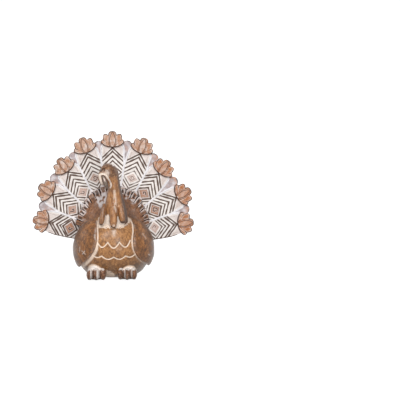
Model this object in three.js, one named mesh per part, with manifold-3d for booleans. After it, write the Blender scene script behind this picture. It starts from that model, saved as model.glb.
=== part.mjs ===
// A turkey figure in a carved-wood finish: a squat body with folded wings and three-toed feet, a bowed head
// on a lobed neck, a ruff of short feathers on the shoulders, and a fan tail of nine carved feathers.
// Millimetres, +Z up, the breast faces -Y. The origin is under the figure's middle, on the surface it stands on.
import * as THREE from "three";
import { mergeVertices } from "three/addons/utils/BufferGeometryUtils.js";
import Module from "manifold-3d";

const wasm = await Module();
wasm.setup();

// Joints between pieces
const seatGap = 0.3; // glue line between a piece and what carries it
const cutOverrun = 2; // how far a cutting solid runs past what it cuts

// Body, about an upright axis
const bodyWidth = 85;
const bodyHeight = 70;
const chestDepth = 37; // from the axis to the front of the breast
const rumpDepth = 39; // from the axis to the back of the rump
const bodyLean = 5; // how far the top of the body leans to the front
const bodySides = 36;
const bodyRings = 13;
// The body's outline from its flat sole to its top: [radius, height]
const bodyProfileShares = [
  [0.64, 0],
  [0.8, 0.07],
  [0.95, 0.22],
  [1, 0.42],
  [0.93, 0.64],
  [0.72, 0.83],
  [0.42, 0.95],
  [0.16, 0.995],
];

// Two rows of scallops cut into the breast, as places along the body's outline and angles round from the breast.
// Each scallop sags between its cusps, and the row as a whole bows down towards the middle of the breast.
const scallopLineRadius = 0.6;
const scallopRows = [
  { count: 3, cuspShare: 0.578, sagShare: 0.055, bowShare: 0.008, halfAngle: 28 },
  { count: 4, cuspShare: 0.437, sagShare: 0.028, bowShare: 0.033, halfAngle: 37 },
];
const scallopTurn = 0.5; // degrees that the middle of the rows stands to the right
const scallopSteps = 6;

// Felt pads under the sole
const padRadius = 5.5;
const padThickness = 1.2;
const padSpreadShare = 0.165; // from the middle of the sole to a pad's centre, sideways and lengthways
const padSides = 20;

// Wings, shells on the body's skin
const leftWingThickness = 5;
const rightWingThickness = 7.6;
const wingRimThickness = 1.8;
const wingTipFlare = 3.2; // how far the tip stands off the body
const wingSteps = 14;
const wingAcross = 8;
const wingLineRadius = 0.55;
const wingLineSteps = 6;
// A wing's outline from its shoulder to its tip: [along the body's outline, the left wing's front edge, the right
// wing's front edge, back edge]. The edges are shares of half a turn round from the breast.
const wingOutlineShares = [
  [0.8, 0.3, 0.35, 0.42],
  [0.76, 0.24, 0.3, 0.5],
  [0.67, 0.178, 0.235, 0.62],
  [0.57, 0.15, 0.184, 0.7],
  [0.47, 0.165, 0.182, 0.74],
  [0.38, 0.215, 0.222, 0.73],
  [0.31, 0.3, 0.3, 0.66],
  [0.262, 0.41, 0.41, 0.56],
  [0.245, 0.465, 0.465, 0.505],
];
// Lines between the long feathers: [from and to along the wing, from and to across it, -1 to 1]
const wingLineShares = [
  [0.6, 0.9, 0.62, 0.45],
  [0.56, 0.93, 0.22, 0.02],
  [0.6, 0.9, -0.2, -0.42],
];

// Feet
const toePitch = 7;
const toeWidth = 7.6;
const toeLength = 22;
const toeHeight = 14;
const toeSinkShare = 0.08; // how much of a toe's height is cut off flat at the sole
const toeSetback = 1.4; // how far the outer toes stand behind the middle one
const toeLead = 7.5; // how far the middle toe's tip stands in front of the breast
const toeFan = 9; // degrees between one toe and the next
const ankleWidth = 20;
const ankleDepth = 24;
const ankleHeight = 17.5;
const ankleSetShare = 0.94; // the ankle's middle behind the toe tips, as a share of a toe's length
// From the middle between the feet to a foot's centre, and sideways to that middle, as shares of the body's width
const footSpreadShare = 0.206;
const footShiftShare = -0.024;
const toeSides = 12;
const ankleSides = 16;

// Neck, lobes and head. Their places are [sideways, forward, up], as shares of the next three lengths.
const neckSway = 5;
const neckForward = 19;
const neckTop = 127; // above the surface that the figure stands on
const neckWidth = 27;
const neckSides = 20;
// From the body up to the crown: place of the centre, then half width and depth as shares of the neck's width
const neckRowShares = [
  { place: [0.4, 0.84, 0.433], size: [0.53, 0.42] },
  { place: [0.45, 0.92, 0.524], size: [0.535, 0.42] },
  { place: [0.5, 0.98, 0.62], size: [0.465, 0.39] },
  { place: [0.44, 1.04, 0.717], size: [0.37, 0.35] },
  { place: [0.35, 1.07, 0.803], size: [0.283, 0.31] },
  { place: [0.1, 1.09, 0.882], size: [0.27, 0.31] },
  { place: [-0.4, 1.12, 0.953], size: [0.29, 0.33] },
  { place: [-0.92, 1.12, 1], size: [0.2, 0.24] },
];
const tenonRadius = 7;
const tenonDepth = 14; // how far the neck's tenon goes down into the body
const lobeWidth = 7.6;
const lobeDepth = 8;
const lobeSwell = 2; // how far a lobe bows forward between its root and its tip
const lobeShares = [
  { root: [-1.95, 1.28, 0.68], tip: [-2.75, 1.58, 0.502], width: 0.8 },
  { root: [0.1, 1.45, 0.7], tip: [0.05, 1.74, 0.488], width: 1.14 },
  { root: [1.7, 1.32, 0.68], tip: [2.24, 1.66, 0.526], width: 1.06 },
];
const lobeTaperShares = [
  [0, 0.3],
  [0.2, 0.85],
  [0.55, 0.95],
  [0.8, 1],
  [0.93, 0.8],
  [1, 0.35],
];
const limbSides = 12;
const crownWidth = 20.6;
const crownDepth = 22;
const crownHeight = 21;
const crownShares = [-0.9, 1.16, 0.961];
const faceWidth = 11;
const faceDepth = 13;
const faceLength = 20;
const faceShares = [-1.96, 1.5, 0.917];
const eyeWidth = 3;
const eyeShares = [
  [-2.25, 1.46, 1.003],
  [-2.66, 1.22, 1],
];
const eyeSides = 8;
const headSides = 16;

// Beak
const beakWidth = 5.4;
const beakShares = { root: [-2.52, 1.72, 0.953], bend: [-1.96, 1.94, 0.887], tip: [-1.32, 1.66, 0.816] };
const beakTaperShares = [
  [0, 0.35],
  [0.12, 0.8],
  [0.35, 1],
  [0.65, 0.86],
  [0.88, 0.5],
  [1, 0.18],
];

// Fan tail, in its own plane: the hub at its origin, +Y up the middle feather, +Z to the front
const hubHeightShare = 0.615; // the hub's height as a share of the body's height
const hubSet = 12; // from the back of the rump in to the board's front face at the hub
const fanLean = 8; // degrees that the fan leans to the back
const boardThickness = 5;
const featherThickness = 2;
const featherBand = 2.1; // width of the pale band between two feathers
const featherRoot = 15; // from the hub to the inner end of a feather
const fanReach = 100.3; // from the hub to the foot of the middle tip
// The nine feathers from left to right: angle from upright in degrees, and the tip's foot as a share of the reach
const featherAngles = [-79.3, -56.4, -35.5, -17.7, 0, 19, 37.9, 60.8, 82.2];
const featherReachShares = [0.754, 0.835, 0.887, 0.982, 1, 0.98, 0.875, 0.845, 0.754];
const featherHalfWidthShare = 0.122; // of the fan's reach
const featherTopShare = 0.3; // how much of a tip's length its feather reaches under it
const featherTopWidthShare = 0.36; // half width of that end, as a share of the tip's width
// The free edge of the first and last feather: [place out from the hub, half width as a share of the widest]
const outerFeatherHalfWidthShare = 0.139;
const freeEdgeShares = [
  [0.2, 0.62],
  [0.36, 0.88],
  [0.52, 0.98],
  [0.7, 1],
  [0.88, 0.96],
  [1, 0.84],
];

// Grooves of a feather's pattern
const grooveWidth = 1.15;
const grooveDepth = 0.8;
const grooveSlant = 1.4; // a slanting groove is this much longer across the feather than it is wide
const diamondPlaceShare = 0.288; // from the foot of the tip in to the diamond's centre, in shares of the reach
const diamondHalfLengthShare = 0.086;
const diamondHalfWidthShare = 0.1;
const diamondRimShare = 0.029; // from the diamond's outer groove to its inner one
const chevronShares = [0.014, 0.15, 0.354, 0.524]; // the chevrons' places on the way in to the diamond's centre
const chevronSlopeShare = 0.96; // how far a chevron's arm comes in towards the hub for its width

// Pale leaves of the board that show between the tips
const leafReachShares = [0.925, 0.99, 1.06, 1.092, 1.096, 1.052, 0.98, 0.935];
const leafWidthShare = 0.14;
const leafTopShare = 0.13; // from a leaf's shoulders to its end
const leafBulgeShare = 1.08; // how far a leaf bulges past its shoulders
const leafBluntShare = 0.56;
const boardInset = 0.8; // how far the board stays inside the feathers that it carries
const rootWidth = 34; // the board's root, which goes down into the body
const rootDepth = 24;

// Five-petalled tips
const tipThickness = 3; // above the feather that carries the tip
const tipWidthShare = 0.268; // of the fan's reach, as is its length
const tipLengthShare = 0.194;
const petalWidthShare = 0.32; // of the tip's width
const petalRise = 1.1; // how far the middle petal stands above the others
const petalGrooveWidth = 0.9;
const petalGrooveDepth = 0.9;
// Right half of a tip from its foot round to its top: each edge bulges towards one point and ends at the next
const tipEdgeShares = [
  { bulge: [0.36, 0.01], end: [0.51, 0.29] },
  { bulge: [0.515, 0.46], end: [0.395, 0.455] },
  { bulge: [0.43, 0.96], end: [0.152, 0.7] },
  { bulge: [0.17, 0.99], end: [0, 1] },
];
const petalCentreShare = 0.5;
const petalHalfLengthShare = 0.47;
const petalGrooveStartShares = [0.095, 0.1];
const petalGrooveEndShares = [
  [0.29, 0.58],
  [0.4, 0.35],
];

// Shoulder ruff: a cape from the back of the neck down to a fringe on the feathers
const ruffReach = 46;
const ruffCrownShare = 0.26; // how much further it reaches beside the neck than at its ends
const ruffRise = 31; // how high the cape stands above the feathers at its inner edge
const ruffHalfAngle = 76;
const ruffFingers = 24;
const ruffFingerSteps = 3;
const ruffNotch = 3; // how deep the notches between the fringe's fingers go
const ruffFlute = 1.5; // how deep the flutes between the fingers are
// From the inner edge to the fringe: [radius, height, depth of the flutes, depth of the notches]
const ruffRowShares = [
  [0.3, 1, 0, 0],
  [0.6, 0.7, 0.3, 0],
  [0.76, 0.42, 1, 0],
  [0.88, 0.25, 1, 0],
  [0.96, 0.17, 1, 0.5],
  [1, 0.1, 1, 1],
];

const featherHalfWidth = featherHalfWidthShare * fanReach;
const outerFeatherHalfWidth = outerFeatherHalfWidthShare * fanReach;
const diamondPlace = diamondPlaceShare * fanReach;
const diamondHalfLength = diamondHalfLengthShare * fanReach;
const diamondHalfWidth = diamondHalfWidthShare * fanReach;
const diamondRim = diamondRimShare * fanReach;
const leafWidth = leafWidthShare * fanReach;
const leafTopLength = leafTopShare * fanReach;
const tipWidth = tipWidthShare * fanReach;
const tipLength = tipLengthShare * fanReach;
const petalWidth = petalWidthShare * tipWidth;

const featherSegments = 1;
const leafSegments = 6;
const petalSegments = 6;
const tipSegments = 3;
const cutterSides = 4;
const mergeTolerance = 1e-4;
const surfaceStep = 1e-3; // step along the body's outline and round it, for finding a normal

const woodTone = { color: 0x9a6a42, roughness: 0.5 };
const beakTone = { color: 0x5b4332, roughness: 0.45 };
const washTone = { color: 0xdcd3d0, roughness: 0.65 };
const tipTone = { color: 0xb28a6c, roughness: 0.5 };
const feltTone = { color: 0x2c2a28, roughness: 0.95 };

const degrees = THREE.MathUtils.degToRad;
const soleHeight = padThickness + seatGap;
const featherTop = seatGap + featherThickness;
const tipTop = featherTop + seatGap + tipThickness;

const figure = new THREE.Group();
const bodyGroup = new THREE.Group(); // its origin is on the sole's plane and the body's axis
const fanGroup = new THREE.Group(); // its origin is the hub, its +Z points to the front
bodyGroup.position.z = soleHeight;
fanGroup.position.set(0, rumpDepth - hubSet, hubHeightShare * bodyHeight);
fanGroup.rotation.x = Math.PI / 2 - degrees(fanLean);
figure.add(bodyGroup, fanGroup);
figure.updateMatrixWorld(true);

// A geometry as a solid, with its faces turned outwards whichever way it was wound.
function solid(geometry) {
  const bare = geometry.index ? geometry.toNonIndexed() : geometry.clone();
  bare.deleteAttribute("normal");
  bare.deleteAttribute("uv");
  const merged = mergeVertices(bare, mergeTolerance);
  const vertProperties = merged.attributes.position.array;
  const triVerts = new Uint32Array(merged.index.array);
  const made = new wasm.Manifold(new wasm.Mesh({ numProp: 3, vertProperties, triVerts }));
  if (made.volume() > 0) return made;
  triVerts.reverse();
  return new wasm.Manifold(new wasm.Mesh({ numProp: 3, vertProperties, triVerts }));
}

// A solid as a geometry, keeping only its largest body, so that slivers left by a cut drop out.
function geometryOf(manifold) {
  const bodies = manifold.decompose().sort((a, b) => b.volume() - a.volume());
  const mesh = bodies[0].getMesh();
  const geometry = new THREE.BufferGeometry();
  geometry.setAttribute("position", new THREE.BufferAttribute(new Float32Array(mesh.vertProperties), 3));
  geometry.setIndex(new THREE.BufferAttribute(new Uint32Array(mesh.triVerts), 1));
  geometry.computeVertexNormals();
  return geometry;
}

function unite(solids) {
  return solids.reduce((whole, next) => whole.add(next));
}

// A closed skin through rings of points, all with the same count, with a flat fan over each end.
function skin(rings) {
  const count = rings[0].length;
  const middleOf = (ring) => ring.reduce((sum, p) => sum.add(p), new THREE.Vector3()).divideScalar(count);
  const points = [...rings.flat(), middleOf(rings[0]), middleOf(rings[rings.length - 1])];
  const firstEnd = points.length - 2;
  const lastRing = (rings.length - 1) * count;
  const faces = [];
  for (let k = 0; k < count; k++) {
    const next = (k + 1) % count;
    for (let row = 0; row < lastRing; row += count) {
      faces.push(row + k, row + next, row + count + k);
      faces.push(row + next, row + count + next, row + count + k);
    }
    faces.push(firstEnd, next, k);
    faces.push(firstEnd + 1, lastRing + k, lastRing + next);
  }
  const geometry = new THREE.BufferGeometry();
  geometry.setAttribute("position", new THREE.Float32BufferAttribute(points.flatMap((p) => p.toArray()), 3));
  geometry.setIndex(faces);
  return solid(geometry);
}

// A level oval ring of points.
function oval(centre, halfWidth, halfDepth, sides) {
  return Array.from({ length: sides }, (_, k) => {
    const turn = (k / sides) * 2 * Math.PI;
    return new THREE.Vector3(Math.cos(turn) * halfWidth, Math.sin(turn) * halfDepth, 0).add(centre);
  });
}

function ellipsoid(width, depth, height, centre, sides, turn = 0) {
  const ball = new THREE.SphereGeometry(1, sides, Math.round(sides / 2));
  ball.rotateX(Math.PI / 2);
  ball.scale(width / 2, depth / 2, height / 2);
  ball.rotateZ(turn);
  return solid(ball.translate(centre.x, centre.y, centre.z));
}

// A flat outline pulled up from one level to another.
function plate(shape, from, to, curveSegments) {
  const geometry = new THREE.ExtrudeGeometry(shape, { depth: to - from, bevelEnabled: false, curveSegments });
  return geometry.translate(0, 0, from);
}

// A thin round cutter along a smooth line of points.
function cutterAlong(points, radius) {
  const path = new THREE.CatmullRomCurve3(points);
  const steps = points.length;
  const frames = path.computeFrenetFrames(steps);
  const rings = Array.from({ length: steps + 1 }, (_, i) => {
    const centre = path.getPointAt(i / steps);
    return Array.from({ length: cutterSides }, (_, k) => {
      const turn = (k / cutterSides) * 2 * Math.PI;
      return centre
        .clone()
        .addScaledVector(frames.normals[i], Math.cos(turn) * radius)
        .addScaledVector(frames.binormals[i], Math.sin(turn) * radius);
    });
  });
  return skin(rings);
}

// A solid in one group's frame brought into another's.
function moved(manifold, from, to) {
  const matrix = to.matrixWorld.clone().invert().multiply(from.matrixWorld);
  return solid(geometryOf(manifold).applyMatrix4(matrix));
}

function addPiece(group, name, manifold, tone) {
  const piece = new THREE.Mesh(geometryOf(manifold), new THREE.MeshStandardMaterial({ ...tone, metalness: 0 }));
  piece.name = name;
  group.add(piece);
}

const bodyProfile = new THREE.SplineCurve(bodyProfileShares.map(([r, h]) => new THREE.Vector2(r, h)));

// The point of the body's skin at a share of its outline and at an angle round from the breast.
function onBody(share, angle) {
  const { x: radius, y: height } = bodyProfile.getPoint(THREE.MathUtils.clamp(share, 0, 1));
  const depth = Math.cos(angle) > 0 ? chestDepth : rumpDepth;
  const lean = height * height * bodyLean;
  return new THREE.Vector3(
    Math.sin(angle) * radius * (bodyWidth / 2),
    -Math.cos(angle) * radius * depth - lean,
    height * bodyHeight,
  );
}

// The same point moved off the skin, along its normal.
function offBody(share, angle, distance) {
  const along = onBody(share + surfaceStep, angle).sub(onBody(share - surfaceStep, angle));
  const round = onBody(share, angle + surfaceStep).sub(onBody(share, angle - surfaceStep));
  return onBody(share, angle).addScaledVector(round.cross(along).normalize(), distance);
}

// The body with its skin moved out by a clearance. A clearance body also runs down past the sole.
function bodySolid(clearance) {
  const rings = [];
  for (let i = 0; i <= bodyRings; i++) {
    const turns = Array.from({ length: bodySides }, (_, k) => (k / bodySides) * 2 * Math.PI);
    rings.push(turns.map((turn) => offBody(i / bodyRings, turn, clearance)));
  }
  if (clearance > 0) {
    rings.unshift(rings[0].map((p) => p.clone().setZ(-cutOverrun)));
  } else {
    rings[0].forEach((p) => p.setZ(0));
  }
  return skin(rings);
}

// One row of scallops as a cutter that lies in the breast's skin.
function scallopCutter({ count, cuspShare, sagShare, bowShare, halfAngle }) {
  const steps = count * scallopSteps;
  const points = [];
  for (let i = 0; i <= steps; i++) {
    const sag = Math.abs(Math.sin((Math.PI * i) / scallopSteps)) * sagShare;
    const bow = Math.sin((Math.PI * i) / steps) * bowShare;
    const turn = scallopTurn + THREE.MathUtils.lerp(-halfAngle, halfAngle, i / steps);
    points.push(onBody(cuspShare - sag - bow, degrees(turn)));
  }
  return cutterAlong(points, scallopLineRadius);
}

const [leftWingOutline, rightWingOutline] = [-1, 1].map((side) => {
  const rows = wingOutlineShares.map(([share, left, right, back]) => [share, side < 0 ? left : right, back]);
  return new THREE.CatmullRomCurve3(rows.map((row) => new THREE.Vector3(...row)));
});

// The point of a wing's outer face: along from shoulder to tip 0 to 1, across from -1 at the front edge to 1.
function onWing(side, along, across, clearance) {
  const [outline, thickness] =
    side < 0 ? [leftWingOutline, leftWingThickness] : [rightWingOutline, rightWingThickness];
  const { x: share, y: front, z: back } = outline.getPoint(along);
  const growAngle = (across * clearance) / (bodyWidth / 4);
  const growShare = ((1 / 2 - along) * clearance) / (bodyHeight / 4);
  const angle = side * (Math.PI * THREE.MathUtils.lerp(front, back, (across + 1) / 2) + growAngle);
  const dome = Math.sqrt(Math.sin(Math.PI * along)) * Math.sqrt(1 - across * across);
  const rise = THREE.MathUtils.lerp(wingRimThickness, thickness, dome) + wingTipFlare * along ** 4;
  return { share: share + growShare, angle, rise: seatGap + rise + clearance };
}

// A wing that runs a little into the body, to be cut back to its skin.
function wingSolid(side, clearance) {
  const rings = [];
  for (let i = 0; i <= wingSteps; i++) {
    const outer = [];
    const inner = [];
    for (let k = 0; k <= wingAcross; k++) {
      const across = (2 * k) / wingAcross - 1;
      const top = onWing(side, i / wingSteps, across, clearance);
      const foot = onWing(side, i / wingSteps, -across, clearance);
      outer.push(offBody(top.share, top.angle, top.rise));
      inner.push(offBody(foot.share, foot.angle, -cutOverrun));
    }
    rings.push([...outer, ...inner]);
  }
  return skin(rings);
}

// The lines between a wing's long feathers, as one cutter.
function wingLines(side) {
  const lines = wingLineShares.map(([alongFrom, alongTo, acrossFrom, acrossTo]) => {
    const points = [];
    for (let i = 0; i <= wingLineSteps; i++) {
      const along = THREE.MathUtils.lerp(alongFrom, alongTo, i / wingLineSteps);
      const across = THREE.MathUtils.lerp(acrossFrom, acrossTo, i / wingLineSteps);
      const { share, angle, rise } = onWing(side, along, across, 0);
      points.push(offBody(share, angle, rise));
    }
    return cutterAlong(points, wingLineRadius);
  });
  return unite(lines);
}

function footSolid(side) {
  const footX = (footShiftShare + side * footSpreadShare) * bodyWidth;
  const toeTipY = -chestDepth - toeLead;
  const parts = [-1, 0, 1].map((place) => {
    const y = toeTipY + toeLength / 2 + Math.abs(place) * toeSetback;
    const centre = new THREE.Vector3(footX + place * toePitch, y, toeHeight * (1 / 2 - toeSinkShare));
    return ellipsoid(toeWidth, toeLength, toeHeight, centre, toeSides, degrees(place * toeFan));
  });
  const ankleY = toeTipY + toeLength * ankleSetShare;
  const ankle = new THREE.Vector3(footX, ankleY, 0);
  parts.push(ellipsoid(ankleWidth, ankleDepth, 2 * ankleHeight, ankle, ankleSides));
  const ground = new THREE.BoxGeometry(bodyWidth, 2 * bodyWidth, 2 * ankleHeight);
  return unite(parts).subtract(solid(ground.translate(footX, 0, -ankleHeight)));
}

// A place given in shares of the neck's sway, forward reach and height, in the body's frame.
function neckPlace([side, forward, up]) {
  return new THREE.Vector3(side * neckSway, -forward * neckForward, up * neckTop - soleHeight);
}

// The neck's column with its skin moved out by a clearance.
function neckSolid(clearance) {
  const rings = neckRowShares.map(({ place, size: [width, depth] }) =>
    oval(neckPlace(place), width * neckWidth + clearance, depth * neckWidth + clearance, neckSides),
  );
  return skin(rings);
}

function tenonSolid(clearance) {
  const foot = neckPlace(neckRowShares[0].place);
  const length = tenonDepth + cutOverrun + clearance;
  const tenon = new THREE.CylinderGeometry(tenonRadius + clearance, tenonRadius + clearance, length, neckSides);
  tenon.rotateX(Math.PI / 2);
  return solid(tenon.translate(foot.x, foot.y, foot.z + cutOverrun - length / 2));
}

// A round-ended limb from a root to a tip by way of a bend, its width following a taper.
function limb(root, bend, tip, width, depth, taperShares) {
  const path = new THREE.QuadraticBezierCurve3(root, bend, tip);
  const rings = taperShares.map(([along, size]) =>
    oval(path.getPoint(along), (size * width) / 2, (size * depth) / 2, limbSides),
  );
  return skin(rings);
}

function lobeSolid(lobe) {
  const root = neckPlace(lobe.root);
  const tip = neckPlace(lobe.tip);
  const bend = new THREE.Vector3(0, -lobeSwell, 0).add(root.clone().lerp(tip, 1 / 2));
  return limb(root, bend, tip, lobe.width * lobeWidth, lobeDepth, lobeTaperShares);
}

function beakSolid(clearance) {
  const [root, bend, tip] = [beakShares.root, beakShares.bend, beakShares.tip].map(neckPlace);
  const width = beakWidth + 2 * clearance;
  return limb(root, bend, tip, width, width, beakTaperShares);
}

function headSolid() {
  const crown = ellipsoid(crownWidth, crownDepth, crownHeight, neckPlace(crownShares), headSides);
  const face = ellipsoid(faceWidth, faceDepth, faceLength, neckPlace(faceShares), headSides);
  const eyes = eyeShares.map((place) => ellipsoid(eyeWidth, eyeWidth, eyeWidth, neckPlace(place), eyeSides));
  return unite([crown, face, ...eyes]);
}

function featherReach(n) {
  return featherReachShares[n] * fanReach;
}

// Half the angle between feather n and its neighbour on a side, or nothing at the fan's ends.
function halfPitch(n, side) {
  const neighbour = featherAngles[n + side];
  return neighbour === undefined ? undefined : degrees(Math.abs(neighbour - featherAngles[n]) / 2);
}

// One edge of feather n from its root out to under its tip, as [half width, distance from the hub].
function featherEdge(n, side) {
  const reach = featherReach(n);
  const pitch = halfPitch(n, side);
  const end = [featherTopWidthShare * tipWidth, reach + featherTopShare * tipLength];
  if (pitch === undefined) {
    return [...freeEdgeShares.map(([out, width]) => [width * outerFeatherHalfWidth, out * reach]), end];
  }
  const widthAt = (radius) => radius * Math.tan(pitch) - featherBand / 2;
  const fork = (featherHalfWidth + featherBand / 2) / Math.tan(pitch);
  return [[widthAt(featherRoot), featherRoot], [featherHalfWidth, fork], [featherHalfWidth, reach], end];
}

// Outline of feather n, smaller by an inset, with +Y along the feather from the hub.
function featherShape(n, inset) {
  const right = featherEdge(n, 1).map(([x, y]) => new THREE.Vector2(x - inset, y));
  const left = featherEdge(n, -1).map(([x, y]) => new THREE.Vector2(inset - x, y));
  return new THREE.Shape([...right, ...left.reverse()]);
}

// Turns what stands along +Y to lie along feather n.
function alongFeather(geometry, n) {
  return geometry.rotateZ(-degrees(featherAngles[n]));
}

// A band of one width along a line of up to three points, with a mitred corner.
function strip(points, width) {
  const steps = points.slice(1).map((p, i) => p.clone().sub(points[i]).normalize());
  const sides = points.map((_, i) => {
    const before = steps[Math.max(0, i - 1)];
    const after = steps[Math.min(i, steps.length - 1)];
    const along = before.clone().add(after).normalize();
    const spread = width / 2 / along.dot(before);
    return new THREE.Vector2(-along.y, along.x).multiplyScalar(spread);
  });
  const left = points.map((p, i) => p.clone().add(sides[i]));
  const right = points.map((p, i) => p.clone().sub(sides[i]));
  return new THREE.Shape([...left, ...right.reverse()]);
}

// A cutter in the shape of an outline that goes into a face of feather n to a depth.
function cutInto(shape, level, depth, n, segments) {
  return solid(alongFeather(plate(shape, level - depth, level + cutOverrun, segments), n));
}

function diamondShape(centreY, inset) {
  const share = 1 - inset / diamondHalfWidth;
  const x = diamondHalfWidth * share;
  const y = diamondHalfLength * share;
  const shape = new THREE.Shape();
  shape.moveTo(0, centreY + y);
  shape.lineTo(x, centreY);
  shape.lineTo(0, centreY - y);
  shape.lineTo(-x, centreY);
  return shape;
}

// Grooves of one feather: chevrons, and a diamond in a diamond with a cross in it.
function featherGrooves(n) {
  const cut = (shape) => cutInto(shape, featherTop, grooveDepth, n, featherSegments);
  const across = outerFeatherHalfWidth + cutOverrun;
  const chevrons = chevronShares.map((share) => {
    const top = featherReach(n) - share * diamondPlace;
    const foot = top - across * chevronSlopeShare;
    const line = [new THREE.Vector2(-across, foot), new THREE.Vector2(0, top), new THREE.Vector2(across, foot)];
    return cut(strip(line, grooveWidth));
  });
  const centre = new THREE.Vector2(0, featherReach(n) - diamondPlace);
  const rings = [0, diamondRim].map((inset) =>
    cut(diamondShape(centre.y, inset)).subtract(cut(diamondShape(centre.y, inset + grooveWidth * grooveSlant))),
  );
  const armX = (diamondHalfWidth - 2 * diamondRim) / 2;
  const bars = [1, -1].map((side) => {
    const arm = new THREE.Vector2(armX, (side * armX * diamondHalfLength) / diamondHalfWidth);
    return cut(strip([centre.clone().sub(arm), centre.clone().add(arm)], grooveWidth));
  });
  return unite([...chevrons, ...rings, ...bars]);
}

function featherSolid(n) {
  const blade = solid(alongFeather(plate(featherShape(n, 0), seatGap, featherTop, featherSegments), n));
  return blade.subtract(featherGrooves(n));
}

// Outline of a tip whose foot is at a distance from the hub.
function tipShape(footY) {
  const at = ([x, y], side) => [side * x * tipWidth, footY + y * tipLength];
  const shape = new THREE.Shape();
  shape.moveTo(0, footY);
  for (const { bulge, end } of tipEdgeShares) {
    shape.quadraticCurveTo(...at(bulge, 1), ...at(end, 1));
  }
  const ends = [[0, 0], ...tipEdgeShares.map(({ end }) => end)];
  for (let i = tipEdgeShares.length - 1; i >= 0; i--) {
    shape.quadraticCurveTo(...at(tipEdgeShares[i].bulge, -1), ...at(ends[i], -1));
  }
  return shape;
}

function petalShape(footY, inset) {
  const centreY = footY + petalCentreShare * tipLength;
  const halfLength = petalHalfLengthShare * tipLength;
  const shape = new THREE.Shape();
  shape.absellipse(0, centreY, petalWidth / 2 - inset, halfLength - inset, 0, 2 * Math.PI);
  return shape;
}

// A tip that grips the end of its feather: down to the board in front of it and over the feather behind.
function tipSolid(n) {
  const footY = featherReach(n);
  const petals = solid(alongFeather(plate(tipShape(footY), seatGap, tipTop, tipSegments), n));
  const middleTop = tipTop + petalRise;
  const middle = solid(alongFeather(plate(petalShape(footY, 0), seatGap, middleTop, petalSegments), n));
  const lip = plate(featherShape(n, -seatGap), -cutOverrun, featherTop + seatGap, featherSegments);
  const [outerCut, innerCut] = [1, 2].map((times) =>
    cutInto(petalShape(footY, times * petalGrooveWidth), middleTop, petalGrooveDepth, n, petalSegments),
  );
  const grooves = petalGrooveEndShares.flatMap((end) =>
    [1, -1].map((side) => {
      const line = [petalGrooveStartShares, end].map(
        ([x, y]) => new THREE.Vector2(side * x * tipWidth, footY + y * tipLength),
      );
      return cutInto(strip(line, petalGrooveWidth), tipTop, petalGrooveDepth, n, tipSegments);
    }),
  );
  return petals
    .subtract(unite(grooves))
    .add(middle)
    .subtract(outerCut.subtract(innerCut))
    .subtract(solid(alongFeather(lip, n)));
}

// A rounded leaf of the board from the hub out to its reach, between feathers n and n + 1.
function leafShape(n, grow) {
  const half = leafWidth / 2 + grow;
  const reach = leafReachShares[n] * fanReach + grow;
  const shoulder = reach - leafTopLength;
  const shape = new THREE.Shape();
  shape.moveTo(0, -grow);
  shape.lineTo(half, shoulder);
  shape.bezierCurveTo(half * leafBulgeShare, reach - half / 2, half * leafBluntShare, reach, 0, reach);
  shape.bezierCurveTo(-half * leafBluntShare, reach, -half * leafBulgeShare, reach - half / 2, -half, shoulder);
  return shape;
}

// The board's root, a rounded tongue that goes down into the body.
function rootShape(grow) {
  const half = rootWidth / 2 + grow;
  const foot = -rootDepth - grow;
  const shape = new THREE.Shape();
  shape.moveTo(-half, featherRoot);
  shape.lineTo(-half, foot / 2);
  shape.quadraticCurveTo(-half, foot, 0, foot);
  shape.quadraticCurveTo(half, foot, half, foot / 2);
  shape.lineTo(half, featherRoot);
  return shape;
}

// The board between two levels: a backing for each feather, a rounded leaf between each two, and the root.
function boardSolid(inset, grow, from, to) {
  const backings = featherAngles.map((_, n) =>
    solid(alongFeather(plate(featherShape(n, inset), from, to, featherSegments), n)),
  );
  const leaves = leafReachShares.map((_, n) => {
    const middle = degrees((featherAngles[n] + featherAngles[n + 1]) / 2);
    return solid(plate(leafShape(n, grow), from, to, leafSegments).rotateZ(-middle));
  });
  return unite([...backings, ...leaves, solid(plate(rootShape(grow), from, to, leafSegments))]);
}

// The cape on the feathers' faces: rays from its inner edge out to the fringe, each closed along the floor.
function ruffSolid() {
  const floor = featherTop + seatGap;
  const steps = ruffFingers * ruffFingerSteps;
  const rings = Array.from({ length: steps + 1 }, (_, k) => {
    const turn = degrees(THREE.MathUtils.lerp(-ruffHalfAngle, ruffHalfAngle, k / steps));
    const valley = 1 - Math.abs(Math.sin((Math.PI * k) / ruffFingerSteps));
    const reach = ruffReach * (1 + ruffCrownShare * Math.cos(turn) ** 3);
    const top = ruffRowShares.map(([out, rise, flute, notch]) => {
      const radius = out * reach - notch * ruffNotch * valley;
      const height = floor + rise * ruffRise - flute * ruffFlute * valley;
      return new THREE.Vector3(radius * Math.sin(turn), radius * Math.cos(turn), height);
    });
    const foot = [top[top.length - 1], top[0]].map((p) => p.clone().setZ(floor));
    return [...top, ...foot];
  });
  return skin(rings);
}

const bodyClearance = bodySolid(seatGap);
const wingClearance = unite([wingSolid(-1, seatGap), wingSolid(1, seatGap)]);
const neckClearance = unite([neckSolid(seatGap), tenonSolid(seatGap)]);
const fanClearance = boardSolid(-seatGap, seatGap, -boardThickness - seatGap, featherTop + seatGap);
const fanRoom = moved(fanClearance, fanGroup, bodyGroup);

const scallops = unite(scallopRows.map(scallopCutter));
const body = bodySolid(0).subtract(tenonSolid(seatGap)).subtract(fanRoom).subtract(scallops);
addPiece(bodyGroup, "body", body, woodTone);

const neckHead = unite([neckSolid(0), headSolid(), ...lobeShares.map(lobeSolid)])
  .subtract(bodyClearance)
  .subtract(wingClearance)
  .add(tenonSolid(0))
  .subtract(beakSolid(seatGap));
addPiece(bodyGroup, "neck_head", neckHead, woodTone);
addPiece(bodyGroup, "beak", beakSolid(0), beakTone);

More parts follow.
